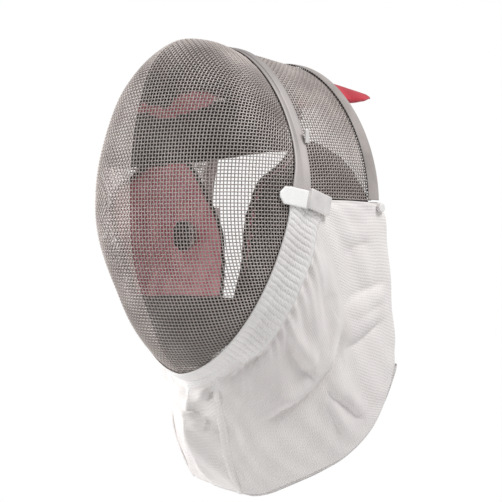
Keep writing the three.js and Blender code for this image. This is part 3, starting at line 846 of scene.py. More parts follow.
def cut(piece, node, rests_on, trim=()):
    """Says how large the sheet was when it was cut, what it is sewn to and what is sewn on it."""
    width, length, area = FLAT[node]
    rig.sheet(piece, flat=(width, length), held="hung", rests_on=rests_on, area=area, with_pieces=trim)


# The front mesh is one flat woven sheet pressed over the face: its cells keep their sides and
# shear, so every crossing lies one pitch from its two neighbours.
def walk(point_at, share_end, count):
    """Points one pitch apart along a curve given by shares from 0, at most count of them."""
    shares = np.linspace(0, share_end, CURVE_STEPS)
    curve = point_at(shares)
    length = lengths_along(curve)
    steps = np.arange(min(count, int(length[-1] // PITCH) + 1)) * PITCH
    return read_at(steps, length, curve)


def settle(guess, above, beside):
    """Moves guesses onto the face, one pitch from both neighbours."""
    point = guess.copy()
    for _ in range(NET_ROUNDS):
        from_above = point - above
        from_beside = point - beside
        matrix = np.stack([2 * from_above, 2 * from_beside, slope(face_level, point)], -2)
        missing = np.stack(
            [
                (from_above**2).sum(-1) - PITCH**2,
                (from_beside**2).sum(-1) - PITCH**2,
                face_level(point),
            ],
            -1,
        )
        sound = np.abs(np.linalg.det(matrix)) > 1e-6
        matrix[~sound] = np.eye(3)
        move = np.linalg.solve(matrix, missing[..., None])[..., 0]
        reach = np.linalg.norm(move, axis=-1, keepdims=True)
        point = point - move * np.minimum(1, NET_STEP / np.maximum(reach, 1e-9))
    off = np.abs(np.linalg.norm(point - above, axis=-1) - PITCH)
    off += np.abs(np.linalg.norm(point - beside, axis=-1) - PITCH)
    point[(off > NET_SLACK) | ~sound] = np.nan
    return point


def quarter(spine, arm):
    """The net between two seed lines that leave one crossing."""
    net = np.full((len(spine), len(arm), 3), np.nan)
    net[:, 0] = spine
    net[0] = arm
    for diagonal in range(2, len(spine) + len(arm) - 1):
        rows = np.arange(max(1, diagonal - len(arm) + 1), min(len(spine), diagonal))
        columns = diagonal - rows
        above = net[rows - 1, columns]
        beside = net[rows, columns - 1]
        corner = net[rows - 1, columns - 1]
        sound = np.isfinite(above + beside + corner).all(-1)
        if not sound.any():
            continue
        rows, columns = rows[sound], columns[sound]
        above, beside, corner = above[sound], beside[sound], corner[sound]
        net[rows, columns] = settle(above + beside - corner, above, beside)
    return net


def front_net():
    """Crossings of the front mesh as a grid, rows from the crown down, columns right to left."""
    middle = BAND_ANGLE / (BAND_ANGLE - CHIN_ANGLE)
    up = walk(lambda share: face_point(middle * (1 - share), 0 * share), NET_REACH, NET_COUNT)
    below = 1 - middle
    down = walk(lambda share: face_point(middle + below * share, 0 * share), NET_REACH, NET_COUNT)
    arm = walk(lambda share: face_point(middle + 0 * share, share), 1, NET_COUNT)
    half = np.concatenate([quarter(up, arm)[:0:-1], quarter(down, arm)])
    mirror = half[:, :0:-1] * np.array([-1, 1, 1])
    return np.concatenate([mirror, half], 1)


def runs(keep):
    """The unbroken runs of a line's points that are kept."""
    edges = np.flatnonzero(np.diff(np.concatenate([[0], keep.astype(int), [0]])))
    return [slice(start, end) for start, end in zip(edges[::2], edges[1::2])]


def woven(name, net, normal, keep, radius):
    """Two pieces of wire, one each way, that pass over and under each other."""
    rows, columns = net.shape[:2]
    lift = (-1.0) ** (np.arange(rows)[:, None] + np.arange(columns)[None, :])
    lift = lift[..., None] * WEAVE_RISE
    upright = net + normal * (lift - WIRE_SINK)
    level = net - normal * (lift + WIRE_SINK)
    across = []
    for row in range(rows):
        for run in runs(keep[row]):
            across.append((level[row, run], normal[row, run]))
    downward = []
    for step in range(columns):
        for run in runs(keep[:, step]):
            downward.append((upright[run, step], normal[run, step]))
    return (
        tubes(name + "_across", across, radius, WIRE_SIDES),
        tubes(name + "_down", downward, radius, WIRE_SIDES),
    )


def make_front_mesh():
    net = front_net()
    angle = face_angle(net)[0]
    keep = np.isfinite(net).all(-1) & (angle < BAND_ANGLE) & (angle > CHIN_ANGLE)
    net = np.where(keep[..., None], net, 0.0)
    normal = unit(slope(face_level, np.where(keep[..., None], net, 100.0)))
    for piece in woven("front_mesh", net, normal, keep, WIRE_RADIUS):
        dress(piece, WIRE, "wire", "front_mesh")


def make_rear_mesh():
    shares = np.linspace(-POLE_SHARE, POLE_SHARE, CURVE_STEPS)
    arch_line = rear_point(0.5, shares)
    length = lengths_along(arch_line)
    count = int(length[-1] // REAR_PITCH)
    along = np.interp(np.linspace(0, length[-1], count), length, shares)
    back = np.linspace(EDGE_GAP / REAR_REACH, 1, REAR_ROWS)
    net = rear_point(back[::-1, None], along[None, :])
    normal = normals_of(net, 1)
    keep = np.ones(net.shape[:2], bool)
    for piece in woven("rear_mesh", net, normal, keep, REAR_RADIUS):
        dress(piece, WIRE, "wire", "rear_mesh")


# The band's frame, rim and tape.
def arch_shares(columns):
    return np.linspace(-POLE_SHARE, POLE_SHARE, columns)[None, :]


def band_points(width, across):
    """width: 0 at the band's rear edge, 1 at its front edge."""
    behind = rear_point((1 - 2 * width) * BAND_LAP / REAR_REACH, across)
    before = face_point(lap_share(0, across, BAND_LAP) * (2 * width - 1), across)
    rear_half = np.broadcast_to(width <= 0.5, before.shape[:2])[..., None]
    return np.where(rear_half, behind, before)


# The band's grid, its thickness at its edges and what its middle stands above them.
BAND_ROWS = 21
BAND_COLUMNS = 321
BAND_EDGE = 0.7
BAND_CROWN = 0.9


def make_band():
    width = np.linspace(0, 1, BAND_ROWS)[:, None]
    points = band_points(width, arch_shares(BAND_COLUMNS))
    crown = 1 - (2 * width - 1) ** 8
    outer = LAY_GAP + BAND_EDGE + BAND_CROWN * crown
    piece = sheet_mesh("frame_band_satin", points, LAY_GAP, outer, 1)
    dress(piece, BAND, "frame_metal", "frame_band")


# The binding's grid and thickness, and the channel of its seam: place and spread as shares of its
# width.
RIM_ROWS = 25
RIM_COLUMNS = 401
RIM_EDGE = 0.5
RIM_CROWN = 1.2
RIM_SEAM = 0.86
RIM_SEAM_SPREAD = 0.035
RIM_SEAM_DEPTH = 0.6


def make_rim():
    start = 1 - RIM_LAP / REAR_REACH
    end = start + RIM_WIDTH / REAR_REACH
    down = np.linspace(0, 1, RIM_ROWS)[:, None]
    points = rear_point(end + (start - end) * down, arch_shares(RIM_COLUMNS))
    edge = 1 - (2 * down - 1) ** 6
    seam = bell(down, RIM_SEAM, RIM_SEAM_SPREAD)
    outer = LAY_GAP + RIM_EDGE + RIM_CROWN * edge - RIM_SEAM_DEPTH * seam
    piece = sheet_mesh("rear_rim_sewn", points, LAY_GAP, outer, 1)
    dress(piece, RIM, "rim_binding", "rear_rim")
    cut(piece, "rear_rim", ["rear_mesh"], [make_rim_stitches()])


# The threads over the rim's edge.
STITCH_STEP = 3.4
STITCH_LENGTH = 2.1
STITCH_RADIUS = 0.45
STITCH_BOW = 0.5
STITCH_LIFT = 0.1
STITCH_AWAY = 0.3
STITCH_END = 6
STITCH_POINTS = 5
RIM_CURVE_STEPS = 6000


def make_rim_stitches():
    """Short dark threads over the edge where the binding is sewn to the wire."""
    shares = np.linspace(-POLE_SHARE, POLE_SHARE, RIM_CURVE_STEPS)
    back = 1 - (RIM_LAP + STITCH_AWAY) / REAR_REACH
    line = rear_point(back, shares)
    ahead = rear_point(back - 1 / REAR_REACH, shares)
    length = lengths_along(line)
    along = np.gradient(line, axis=0)
    up = unit(np.cross(ahead - line, along))
    up *= np.where(up[:, 2:3] < 0, -1, 1)
    threads = []
    for start in np.arange(STITCH_END, length[-1] - STITCH_END, STITCH_STEP):
        spots = start + np.linspace(0, STITCH_LENGTH, STITCH_POINTS)
        spot = read_at(spots, length, line)
        out = read_at(spots, length, up)
        bow = np.sin(np.linspace(0, math.pi, STITCH_POINTS))[:, None]
        threads.append((spot + out * (LAY_GAP + STITCH_LIFT + STITCH_BOW * bow), out))
    piece = tubes("rim_stitches", threads, STITCH_RADIUS, 6)
    return dress(piece, DARK, "dark_cloth", "rear_rim")


# The tape turns from the mesh to the bib at this share of its width.
TAPE_TURN = 0.4


def round_at(across):
    """The bib's column under a place on the mesh's lower edge."""
    return np.interp(np.abs(across), BIB_ACROSS[:7], np.arange(7) / 8)


def tape_points(width, across):
    width, across = np.broadcast_arrays(width, across)
    lap = lap_share(1, across, TAPE_LAP)
    on_face = face_point(1 - lap * (1 - np.minimum(width / TAPE_TURN, 1)), across)
    fall = np.clip((width - TAPE_TURN) / (1 - TAPE_TURN), 0, 1)
    on_bib = bib_point(np.where(across < 0, -1, 1), round_at(across), 0.25 * TAPE_FALL * fall)
    return np.where((width < TAPE_TURN)[..., None], on_face, on_bib)


# The tape's grid, its ribs and thickness in millimetres, and the shares across between which it
# thickens.
TAPE_ROWS = 29
TAPE_COLUMNS = 761
TAPE_RIB = 5.4
TAPE_BASE = 0.4
TAPE_EDGE = 0.2
TAPE_CROWN = 1.1
TAPE_GROOVE = 0.75
TAPE_GROOVE_SPREAD = 0.14
TAPE_CHIN = (0.2, 0.42)
# The shares of its width over which it thins and sinks below the chin, and how far it sinks.
TAPE_THINS = (0.4, 0.75)
TAPE_SINKS = (0.5, 1)
TAPE_SINK = 2.2
TAPE_SOFTEN = 3


def soften(points, rounds):
    """Evens a grid of points out, edges kept."""
    for _ in range(rounds):
        middle = (points[2:, 1:-1] + points[:-2, 1:-1] + points[1:-1, 2:] + points[1:-1, :-2]) / 4
        points[1:-1, 1:-1] = (points[1:-1, 1:-1] + middle) / 2
    return points


def rib_counts(points):
    """How many ribs lie before each point of the tape, each rib straight from edge to edge."""
    rows, columns = points.shape[:2]
    step = 4
    inner = points[0, ::step]
    outer = points[-1, ::step]
    middle = (points[0] + points[-1]) / 2
    length = lengths_along(middle)
    counts = np.zeros((rows, columns))
    for row, share in enumerate(np.linspace(0, 1, rows)):
        line = inner + (outer - inner) * share
        away = np.linalg.norm(points[row][None, :] - line[:, None], axis=-1)
        nearest = np.maximum.accumulate(away.argmin(1))
        counts[row] = np.interp(np.arange(columns), nearest, length[::step] / TAPE_RIB)
    return counts


def make_tape():
    """The ribbed binding, thick at the sides and easing into the bib below the chin."""
    width = np.linspace(0, 1, TAPE_ROWS)[:, None]
    across = arch_shares(TAPE_COLUMNS)
    points = soften(tape_points(width, across), TAPE_SOFTEN)
    from_groove = np.abs((rib_counts(points) + 0.5) % 1 - 0.5)
    groove = TAPE_GROOVE * bell(from_groove, 0, TAPE_GROOVE_SPREAD)
    edge = 1 - (2 * width - 1) ** 8
    side = smooth(*TAPE_CHIN, np.abs(across))
    thin = 1 - (1 - side) * smooth(*TAPE_THINS, width)
    sink = TAPE_SINK * (1 - side) * smooth(*TAPE_SINKS, width)
    outer = LAY_GAP + TAPE_BASE + (TAPE_EDGE + TAPE_CROWN * edge) * thin
    outer = outer - groove * edge * side - sink
    piece = sheet_mesh("bib_tape_sewn", points, LAY_GAP - sink, outer, 1)
    dress(piece, TAPE, "white_tape", "bib_tape")
    cut(piece, "bib_tape", ["front_mesh"])


# The bib's panels, with wrinkles finer than the folds. Heights and depths in millimetres; the
# tape's end, the tuck below it and the roll below that as shares down the bib, with their spreads.
# The waves are in radians per bib round and per bib down.
SWELL = 0.7
SWELL_WAVES = (41, 7)
SWELL_BEATS = 17
RIPPLE = 0.4
RIPPLE_WAVES = (67, -23)
HEM_FADE = 0.15
TOP_FADE = 0.06
GATHERS_FROM = (0.15, 0.3)
GATHERS_TO = (0.6, 0.74)
TAPE_END = 0.245
GATHER = 0.9
GATHER_PITCH = 12.0
GATHER_FADE = 0.06
TUCK = 1.6
TUCK_BELOW = 0.012
TUCK_SPREAD = 0.016
ROLL = 1.8
ROLL_BELOW = 0.07
ROLL_SPREAD = 0.04


def wrinkles(around, down):
    """Small rises and dents of the cloth, in millimetres outwards."""
    swell_turn = around * SWELL_WAVES[0] + down * SWELL_WAVES[1]
    swell = SWELL * np.sin(swell_turn) * np.sin(down * SWELL_BEATS + 1.3)
    swell += RIPPLE * np.sin(around * RIPPLE_WAVES[0] + down * RIPPLE_WAVES[1] + 2)
    fade = smooth(0, TOP_FADE, down) * smooth(0, HEM_FADE, 1 - down)
    beside_tape = smooth(*GATHERS_FROM, around) * (1 - smooth(*GATHERS_TO, around))
    below = np.maximum(down - TAPE_END, 0)
    turns = around * BIB_LENGTH * 2 * math.pi / GATHER_PITCH
    gathers = GATHER * np.sin(turns) * np.exp(-below / GATHER_FADE)
    tuck = TUCK * bell(down, TAPE_END + TUCK_BELOW, TUCK_SPREAD)
    beneath = smooth(TAPE_END - 0.02, TAPE_END + 0.01, down)
    roll = ROLL * bell(below, ROLL_BELOW, ROLL_SPREAD)
    return swell * fade + beside_tape * beneath * (gathers - tuck + roll)


def padded_edge(rows, columns, spread):
    """0 at the rim of a grid and 1 further in than spread steps."""
    down = np.minimum(np.arange(rows), np.arange(rows)[::-1])[:, None]
    along = np.minimum(np.arange(columns), np.arange(columns)[::-1])[None, :]
    near = np.minimum(np.minimum(down, along) / spread, 1)
    return np.sqrt(1 - (1 - near) ** 2)


# The sewn channel near the hem, in millimetres: the panel's height, the channel's place above the
# hem, its depth and its half width.
HEM_MM = 240
HEM_STITCH = 5
HEM_DEPTH = 0.9
HEM_SPREAD = 1.3


def hem_stitch(down):
    """A sewn channel above the hem, in millimetres inwards."""
    return HEM_DEPTH * bell((1 - down) * HEM_MM, HEM_STITCH, HEM_SPREAD)


# The panels' grids; how much of their length their rear corners lose, and from where round the bib;
# the front panel's rounds of evening out; the steps over which the padding is full, and its
# thickness at the edges as a share.
PANEL_ROWS = 161
FRONT_COLUMNS = 81
SIDE_COLUMNS = 221
CORNER_ROUND = 0.03
CORNER_START = 0.955
FRONT_SOFTEN = 40
PADDED_STEPS = 3
THIN_EDGE = 0.35


def panel(name, side, around, folds, trim=()):
    """A padded panel of the bib. around runs from 0 at the middle, below 0 on the wearer's right."""
    down = np.linspace(0, 1, PANEL_ROWS)[:, None]
    lower = down * (1 - CORNER_ROUND * smooth(CORNER_START, 1, np.abs(around)))
    points = bib_point(side, np.abs(around), lower)
    if name == "bib_front_panel":
        points = soften(points, FRONT_SOFTEN)
    facing = -1 if name.endswith("right") else 1
    normal = normals_of(points, facing)
    level = wrinkles(np.abs(around), down) + fold_level(folds, around, down) - hem_stitch(down)
    points = points + normal * level[..., None]
    full = padded_edge(*points.shape[:2], PADDED_STEPS)
    middle = BIB_THICKNESS / 2
    half = middle * (THIN_EDGE + (1 - THIN_EDGE) * full)
    piece = sheet_mesh(name + "_sewn", points, -middle - half, -middle + half, facing)
    dress(piece, BIB, "bib_cloth", name)
    cut(piece, name, ["front_mesh", "bib_tape"], trim)


def make_bib():
    turn = np.linspace(-1, 1, FRONT_COLUMNS)[None, :] * (SEAM_COLUMN - SEAM_GAP)
    panel("bib_front_panel", np.where(turn < 0, -1, 1), turn, FRONT_FOLDS)
    around = np.linspace(SEAM_COLUMN + SEAM_GAP, 1, SIDE_COLUMNS)[None, :]
    left_tape, right_tape = make_seam_tapes()
    panel("bib_side_panel_left", 1, around, FOLDS, [left_tape])
    panel("bib_side_panel_right", -1, around, FOLDS, [right_tape])


# The seam tapes: their grid, half width in millimetres, shares round the bib per millimetre, ends
# as shares down the bib, and the depth of the lower face.
SEAM_ROWS = 131
SEAM_COLUMNS = 15
SEAM_HALF_WIDTH = 4.5
SEAM_SPAN = 0.0035
SEAM_TOP = 0.2
SEAM_END = 0.985
SEAM_DEPTH = 2.4
# The share down the bib where each has come out from under the bib tape, and in millimetres how far
# it rises there, and its height and crown below that.
SEAM_RISEN = 0.33
SEAM_RISE = 1.8
SEAM_BASE = 0.1
SEAM_CROWN = 0.9
# The rows of stitches: depth in millimetres, place and spread as shares of the half width.
SEAM_GROOVE = 0.5
SEAM_STITCH = 0.72
SEAM_STITCH_SPREAD = 0.1


def make_seam_tapes():
    """The strips over the seams, tucked under the bib tape at their tops."""
    tapes = []
    for side, name in ((1, "seam_tape_left"), (-1, "seam_tape_right")):
        down = np.linspace(SEAM_TOP, SEAM_END, SEAM_ROWS)[:, None]
        width = np.linspace(-1, 1, SEAM_COLUMNS)[None, :]
        points = bib_point(side, SEAM_COLUMN + width * SEAM_HALF_WIDTH * SEAM_SPAN, down)
        edge = 1 - (width + 0 * down) ** 6
        stitch = bell(np.abs(width), SEAM_STITCH, SEAM_STITCH_SPREAD)
        rise = smooth(SEAM_TOP, SEAM_RISEN, down)
        shape = SEAM_CROWN * edge - SEAM_GROOVE * stitch
        outer = SEAM_BASE - SEAM_RISE * (1 - rise) + rise * shape
        piece = sheet_mesh(name + "_sewn", points, -SEAM_DEPTH, outer, side)
        dress(piece, BIB, "white_tape", name)
        tapes.append(piece)
    return tapes


# Padding, from the part's own solids, swelled like stuffed cloth. Voxel and cap in millimetres.
PAD_VOXEL = 2.6
PAD_EASE = 4
PAD_PRESSURE = 4
PAD_STEPS = 12
PAD_CAP = 0.8


def copied(node, name):
    source = frame["nodes"][node]
    mesh = bpy.data.meshes.new(name)
    shape = source.data
    corners = [list(face.vertices) for face in shape.polygons]
    mesh.from_pydata([tuple(vertex.co) for vertex in shape.vertices], [], corners)
    mesh.validate()
    piece = bpy.data.objects.new(name, mesh)
    bpy.context.scene.collection.objects.link(piece)
    return piece


def vectors_of(items, name):
    """A vector of each of a mesh's points or faces."""
    values = np.zeros(len(items) * 3)
    items.foreach_get(name, values)
    return values.reshape(-1, 3)


def spots_of(piece):
    """A piece's points in metres."""
    return vectors_of(piece.data.vertices, "co")


def put_spots(piece, spots):
    piece.data.vertices.foreach_set("co", spots.ravel())
    piece.data.update()


def remesh(piece, voxel):
    """Adds a weld and an even remesh to a piece, with voxels in millimetres."""
    weld = piece.modifiers.new("weld", "WELD")
    weld.merge_threshold = 0.01 * MM
    even = piece.modifiers.new("remesh", "REMESH")
    even.mode = "VOXEL"
    even.voxel_size = voxel * MM


def ease(piece, rounds):
    """Adds an evening out of a piece's points."""
    even = piece.modifiers.new("ease", "SMOOTH")
    even.factor = 0.5
    even.iterations = rounds


def apply_modifiers(piece):
    graph = bpy.context.evaluated_depsgraph_get()
    finished = bpy.data.meshes.new_from_object(piece.evaluated_get(graph))
    piece.modifiers.clear()
    old = piece.data
    piece.data = finished
    bpy.data.meshes.remove(old)
    return piece


def cushion(node, levels):
    """A stuffed copy of a solid: remeshed, eased, blown up and subdivided."""
    piece = copied(node, node + "_cloth")
    remesh(piece, PAD_VOXEL)
    apply_modifiers(piece)
    ease(piece, PAD_EASE)
    apply_modifiers(piece)
    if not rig.quick():
        blow_up(piece)
    finer = piece.modifiers.new("finer", "SUBSURF")
    finer.levels = levels
    apply_modifiers(piece)
    piece.data.shade_smooth()
    return piece


def blow_up(piece):
    """Swells the piece like a stuffed one, no point moving further than the cap."""
    before = spots_of(piece)
    cloth = piece.modifiers.new("cloth", "CLOTH")
    cloth.settings.use_pressure = True
    cloth.settings.uniform_pressure_force = PAD_PRESSURE
    cloth.settings.effector_weights.gravity = 0
    cloth.settings.quality = 5
    scene = bpy.context.scene
    for step in range(1, PAD_STEPS + 1):
        scene.frame_set(step)
    apply_modifiers(piece)
    scene.frame_set(1)
    move = spots_of(piece) - before
    length = np.linalg.norm(move, axis=-1, keepdims=True)
    held = before + move * np.minimum(1, PAD_CAP * MM / np.maximum(length, 1e-9))
    put_spots(piece, held)


# Which way the pads' dark backing faces. The crown pad's faces away from the head's middle.
OUTWARD = {"side_pad_left": (1, 0, 0), "side_pad_right": (-1, 0, 0), "crown_pad": None}
BACKED_FROM = 0.45
CROWN_MIDDLE = (0, -EAR_FORWARD + SEAT_FORWARD, -DROP_TO_EAR - SEAT_HEIGHT)


def darken_back(piece, way):
    """The side of a pad that faces the mesh is backed with dark cloth."""
    piece.data.materials.append(DARK)
    if way is None:
        way = vectors_of(piece.data.polygons, "center") - np.array(CROWN_MIDDLE) * MM
        way /= np.linalg.norm(way, axis=-1, keepdims=True)
    outward = (vectors_of(piece.data.polygons, "normal") * way).sum(-1)
    piece.data.polygons.foreach_set("material_index", (outward > BACKED_FROM).astype(int))


# How far the cloth of the pads stands past their solids towards their neighbours, and where that
# begins and ends, in millimetres about the head's seat.
REAR_PUFF = 18
REAR_START = 20
REAR_BAND = 8
REAR_LIMIT = 86
LOWER_PUFF = 5
LOWER_BAND = 30
FRONT_DRAW = 14
FRONT_START = -10
FRONT_HIGH = -120
FRONT_LOW = -180
TIP_LIFT = 12
TIP_LENGTH = 12
TIP_TAPER = 0.75
TONGUE_DROP = 4
TONGUE_BEND = 110
ROOT_START = 85
ROOT_END = 100
EAR_PUFF = 7
BROW_PUFF = 8
CROWN_DROP = 10
CHIN_PUFF = 8
CHIN_BACK = 12
CHIN_BAND = 25
CHIN_SPREAD = 0.07
# How far out to the sides each of these begins and is full, and the brow's distances below the top.
EAR_SIDES = (45, 90)
BROW_SIDES = (30, 70)
BROW_BELOW = (30, 8)
CROWN_SIDES = (30, 65)
CHIN_SIDES = (25, 75)
CHIN_ENDS = (20, 60)
# The wire's clearance as a level of the face, and how much of it a move inwards takes up.
WIRE_CLEARANCE = 0.05
INWARD_SHARE = 0.45


def hold_inside(points):
    """Brings what would stand in the wire of the face back inside it."""
    ears = np.array([0, -EAR_FORWARD, -DROP_TO_EAR])
    for _ in range(3):
        angle = face_angle(points)[0]
        excess = np.maximum(face_level(points) + WIRE_CLEARANCE, 0)
        excess = np.where((angle < BAND_ANGLE) & (angle > CHIN_ANGLE), excess, 0)
        points = ears + (points - ears) * ((1 + excess) ** -INWARD_SHARE)[..., None]
    return points


def puff_side(spots):
    """A side pad reaches back to the rim and down, and its front lower edge is drawn back."""
    behind, height = spots[:, 1:].T.copy()
    spots[:, 1] += REAR_PUFF * smooth(REAR_START, behind.max() - REAR_BAND, behind)
    spots[:, 1] = np.minimum(spots[:, 1], REAR_LIMIT)
    spots[:, 2] -= LOWER_PUFF * smooth(height.min() + LOWER_BAND, height.min(), height)
    fore = smooth(FRONT_START, behind.min(), behind) * smooth(FRONT_HIGH, FRONT_LOW, height)
    spots[:, 1] += FRONT_DRAW * fore


def puff_tongue(spots):
    """The tongue ends in a wedge, and lies a little lower than its solid."""
    behind, height = spots[:, 1:].T.copy()
    tip = height[behind > behind.max() - TIP_LENGTH].mean() + TIP_LIFT
    spots[:, 2] += (tip - height) * TIP_TAPER * smooth(TONGUE_BEND, behind.max(), behind)
    spots[:, 2] -= TONGUE_DROP * smooth(ROOT_START, ROOT_END, behind)


def puff_forehead(spots):
    """The forehead pad's ends reach back towards the ears, and its sides up to the crown pad."""
    away, height = np.abs(spots[:, 0]), spots[:, 2].copy()
    spots[:, 1] += EAR_PUFF * smooth(*EAR_SIDES, away)
    upper = smooth(*(height.max() - np.array(BROW_BELOW)), height)
    spots[:, 2] += BROW_PUFF * smooth(*BROW_SIDES, away) * upper


def puff_crown(spots):
    """The crown pad's sides hang down towards the forehead pad."""
    spots[:, 2] -= CROWN_DROP * smooth(*CROWN_SIDES, np.abs(spots[:, 0]))


def puff_chin(spots):
    """The chin pad is fuller at its top and its ends, which reach out to the side pads."""
    away, height = np.abs(spots[:, 0]), spots[:, 2].copy()
    spots[:, 2] += CHIN_PUFF * smooth(height.max() - CHIN_BAND, height.max(), height)
    spots[:, 1] += CHIN_BACK * smooth(*CHIN_SIDES, away)
    spots[:, 0] *= 1 + CHIN_SPREAD * smooth(*CHIN_ENDS, away)


def puff(piece, shape, in_face):
    """Carries the edges of a pad out to the pieces beside it. in_face: kept inside the face."""
    spots = spots_of(piece) / MM
    if in_face:
        spots = follow_crease(spots - SEAT_SHIFT) + SEAT_SHIFT
    shape(spots)
    if in_face:
        spots = hold_inside(spots - SEAT_SHIFT) + SEAT_SHIFT
    put_spots(piece, spots * MM)


# The ear holes of the side pads, with the dark cloth at their bottom: rings as shares of the
# radius.
EAR_HOLE_RADIUS = 15
EAR_HOLE_FORWARD = -37
EAR_HOLE_HEIGHT = -166
EAR_RINGS = (0.02, 0.35, 0.7, 1.08)
EAR_SINK = 1.2
EAR_BOW = 0.8
EAR_THICKNESS = 1.0
EAR_STEPS = 49


def make_ear_cloth(spots, node, side):
    """Dark cloth at the bottom of a side pad's ear hole."""
    behind, height = -EAR_HOLE_FORWARD, EAR_HOLE_HEIGHT
    away = np.hypot(spots[:, 1] - behind, spots[:, 2] - height)
    reach = np.abs(spots[away < EAR_HOLE_RADIUS + 5, 0]).max() - EAR_SINK
    turns = np.linspace(0, 2 * math.pi, EAR_STEPS)
    rings = []
    for share in EAR_RINGS:
        ring = EAR_HOLE_RADIUS * share
        across = 0 * turns + side * (reach + EAR_BOW * (1 - share))
        places = [across, behind + ring * np.cos(turns), height + ring * np.sin(turns)]
        rings.append(np.stack(places, -1))
    rings = np.stack(rings)
    back = rings - np.array([side * EAR_THICKNESS, 0, 0])
    closed = np.concatenate([rings, back[::-1], rings[:1]])
    disc = new_mesh(node + "_ear_cloth", closed.reshape(-1, 3), quads_of(*closed.shape[:2]))
    dress(disc, DARK, "dark_cloth")


PIPING_RADIUS = 2.2
PIPING_STEPS = 96
PIPING_REACH = 0.06
PIPING_DEPTH = 4


def make_piping(spots, node, side):
    """Piping round a side pad's rim, on the side away from the wire."""
    middle = (spots[:, 1:].max(0) + spots[:, 1:].min(0)) / 2
    angle = np.arctan2(spots[:, 2] - middle[1], spots[:, 1] - middle[0])
    reach = np.hypot(spots[:, 1] - middle[0], spots[:, 2] - middle[1])
    rim = []
    for turn in np.linspace(-math.pi, math.pi, PIPING_STEPS + 1)[:-1]:
        off = np.abs((angle - turn + math.pi) % (2 * math.pi) - math.pi)
        chosen = off < PIPING_REACH
        best = np.argmax(np.where(chosen, reach, 0))
        close = chosen & (reach > reach[best] - PIPING_DEPTH)
        inner = np.abs(spots[close, 0]).min()
        rim.append(np.array([side * inner, spots[best, 1], spots[best, 2]]))
    rim = np.stack(rim)
    for _ in range(2):
        rim = (np.roll(rim, 1, 0) + 2 * rim + np.roll(rim, -1, 0)) / 4
    rim = np.concatenate([rim, rim[:2]])
    up = np.tile([side, 0, 0.01], (len(rim), 1))
    piping = tubes(node + "_piping", [(rim, up)], PIPING_RADIUS, 8)
    dress(piping, DARK, "dark_cloth")


# The tongue, seen bare, is subdivided. The other pads are seen through the wire.
PADS = (
    ("forehead_pad", DARK, "dark_cloth", puff_forehead, 0),
    ("chin_pad", DARK, "dark_cloth", puff_chin, 0),
    ("crown_pad", PAD, "pad_cloth", puff_crown, 0),
    ("side_pad_left", PAD, "pad_cloth", puff_side, 0),
    ("side_pad_right", PAD, "pad_cloth", puff_side, 0),
    ("back_tongue", RED, "red_cloth", puff_tongue, 1),
)
PAD_FILL = 0.5


def make_pads():
    for node, material, slot, shape, levels in PADS:
        piece = cushion(node, levels)
        puff(piece, shape, node != "back_tongue")
        dress(piece, material, slot, node)
        if node in OUTWARD:
            darken_back(piece, OUTWARD[node])
        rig.padded(piece, fill=PAD_FILL)
        if node.startswith("side_pad"):
            side = 1 if node.endswith("left") else -1
            spots = spots_of(piece) / MM - SEAT_SHIFT
            make_ear_cloth(spots, node, side)
            make_piping(spots, node, side)


def tilt(piece, degrees, shift):
    """Turns a fitting about its middle in the side plane and moves it along the head, in mm."""
    spots = spots_of(piece)
    middle = (spots.min(0) + spots.max(0)) / 2
    turn = math.radians(degrees)
    behind, height = (spots - middle)[:, 1:].T
    spots[:, 1] = middle[1] + behind * math.cos(turn) + height * math.sin(turn) + shift * MM
    spots[:, 2] = middle[2] - behind * math.sin(turn) + height * math.cos(turn)
    put_spots(piece, spots)


# Each pair of fittings: its material, slot, voxel in millimetres and rounds of evening out, how far
# it hangs down towards the rear in degrees, and its move along the head in millimetres. The clips
# tuck under the tabs.
FITTINGS = (
    ("tape_tab", TAB, "white_tape", 0.7, 14, 8, 0),
    ("clip", CLIP, "clip_metal", 0.7, 6, 15, -3),
    ("band_rivet", CLIP, "frame_metal", 0.5, 6, 0, 0),
    ("rear_loop", TAPE, "white_tape", 0.6, 6, 0, 0),
)


def make_fittings():
    for kind, material, slot, voxel, rounds, degrees, shift in FITTINGS:
        for node in (kind + "_left", kind + "_right"):
            piece = copied(node, node + "_fine")
            remesh(piece, voxel)
            ease(piece, rounds)
            apply_modifiers(piece)
            piece.data.shade_smooth()
            tilt(piece, degrees, shift)
            dress(piece, material, slot, node)


# The camera, the light and the floor.
def aimed(name, data, spot, aim):
    """A camera or lamp at a spot, looking at its aim, both in millimetres."""
    piece = bpy.data.objects.new(name, data)
    piece.location = Vector(to_frame(spot))
    piece.rotation_mode = "QUATERNION"
    piece.rotation_quaternion = Vector(aim - spot).to_track_quat("-Z", "Y")
    bpy.context.scene.collection.objects.link(piece)
    return piece


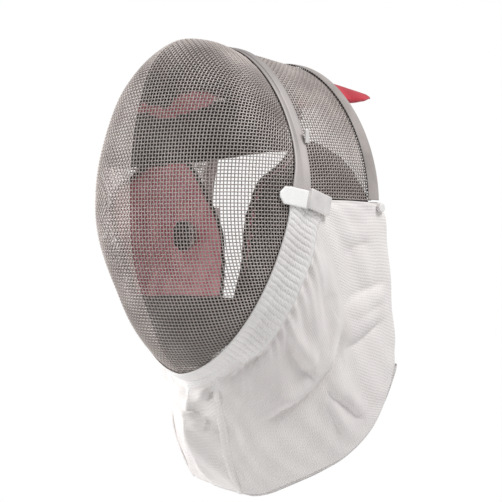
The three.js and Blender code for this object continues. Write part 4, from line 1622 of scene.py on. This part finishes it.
def make_camera():
    """The camera, and its right, back and aim."""
    turn = math.radians(CAMERA_TURN)
    right = np.array([math.cos(turn), math.sin(turn), 0])
    back = np.array([math.sin(turn), -math.cos(turn), 0])
    target = right * CAMERA_SIDE + np.array([0, 0, CAMERA_HEIGHT])
    data = bpy.data.cameras.new("camera")
    data.lens = PIXELS_PER_MM * CAMERA_DISTANCE / PIXELS * SENSOR
    data.sensor_width = SENSOR
    bpy.context.scene.camera = aimed("camera", data, target + back * CAMERA_DISTANCE, target)
    return right, back, target


def make_lamp(name, spot, aim, size, power):
    data = bpy.data.lights.new(name, "AREA")
    data.size = size
    data.energy = power
    aimed(name, data, spot, aim)


def make_world():
    """White where it is seen directly, and dimmer as a light."""
    world = bpy.data.worlds.new("studio")
    world.use_nodes = True
    tree = world.node_tree
    seen = tree.nodes["Background"]
    lighting = tree.nodes.new("ShaderNodeBackground")
    for background, strength in ((seen, 1.0), (lighting, WORLD_LIGHT)):
        background.inputs["Color"].default_value = (1, 1, 1, 1)
        background.inputs["Strength"].default_value = strength
    path = tree.nodes.new("ShaderNodeLightPath")
    mixed = tree.nodes.new("ShaderNodeMixShader")
    tree.links.new(path.outputs["Is Camera Ray"], mixed.inputs[0])
    tree.links.new(lighting.outputs[0], mixed.inputs[1])
    tree.links.new(seen.outputs[0], mixed.inputs[2])
    tree.links.new(mixed.outputs[0], tree.nodes["World Output"].inputs["Surface"])
    bpy.context.scene.world = world


def make_surroundings(right, back, target):
    up = np.array([0, 0, 1.0])
    axes = np.stack([right, back, up])
    make_lamp("key", target + KEY_SPOT @ axes, target, KEY_SIZE, KEY_POWER)
    make_lamp("fill", target + FILL_SPOT @ axes, target, FILL_SIZE, FILL_POWER)
    make_world()
    bpy.context.scene.view_settings.view_transform = "Standard"
    turns = np.linspace(0, 2 * math.pi, FLOOR_SIDES, endpoint=False)
    across = FLOOR_RADIUS * np.cos(turns)
    along = FLOOR_RADIUS * np.sin(turns)
    points = np.stack([across, along, 0 * turns + FLOOR_HEIGHT], -1)
    floor = new_mesh("floor", points, [list(range(FLOOR_SIDES))])
    floor.data.materials.append(looks("floor", (0.9, 0.9, 0.9), 0.9))
    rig.stage(floor)


right, back, target = make_camera()
make_front_mesh()
make_rear_mesh()
make_band()
make_rim()
make_tape()
make_bib()
make_pads()
make_fittings()
make_surroundings(right, back, target)

scene_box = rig.bounds()
with open("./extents.json", "w") as out:
    json.dump({"cad": [list(corner) for corner in cad_box], "scene": [list(corner) for corner in scene_box]}, out)
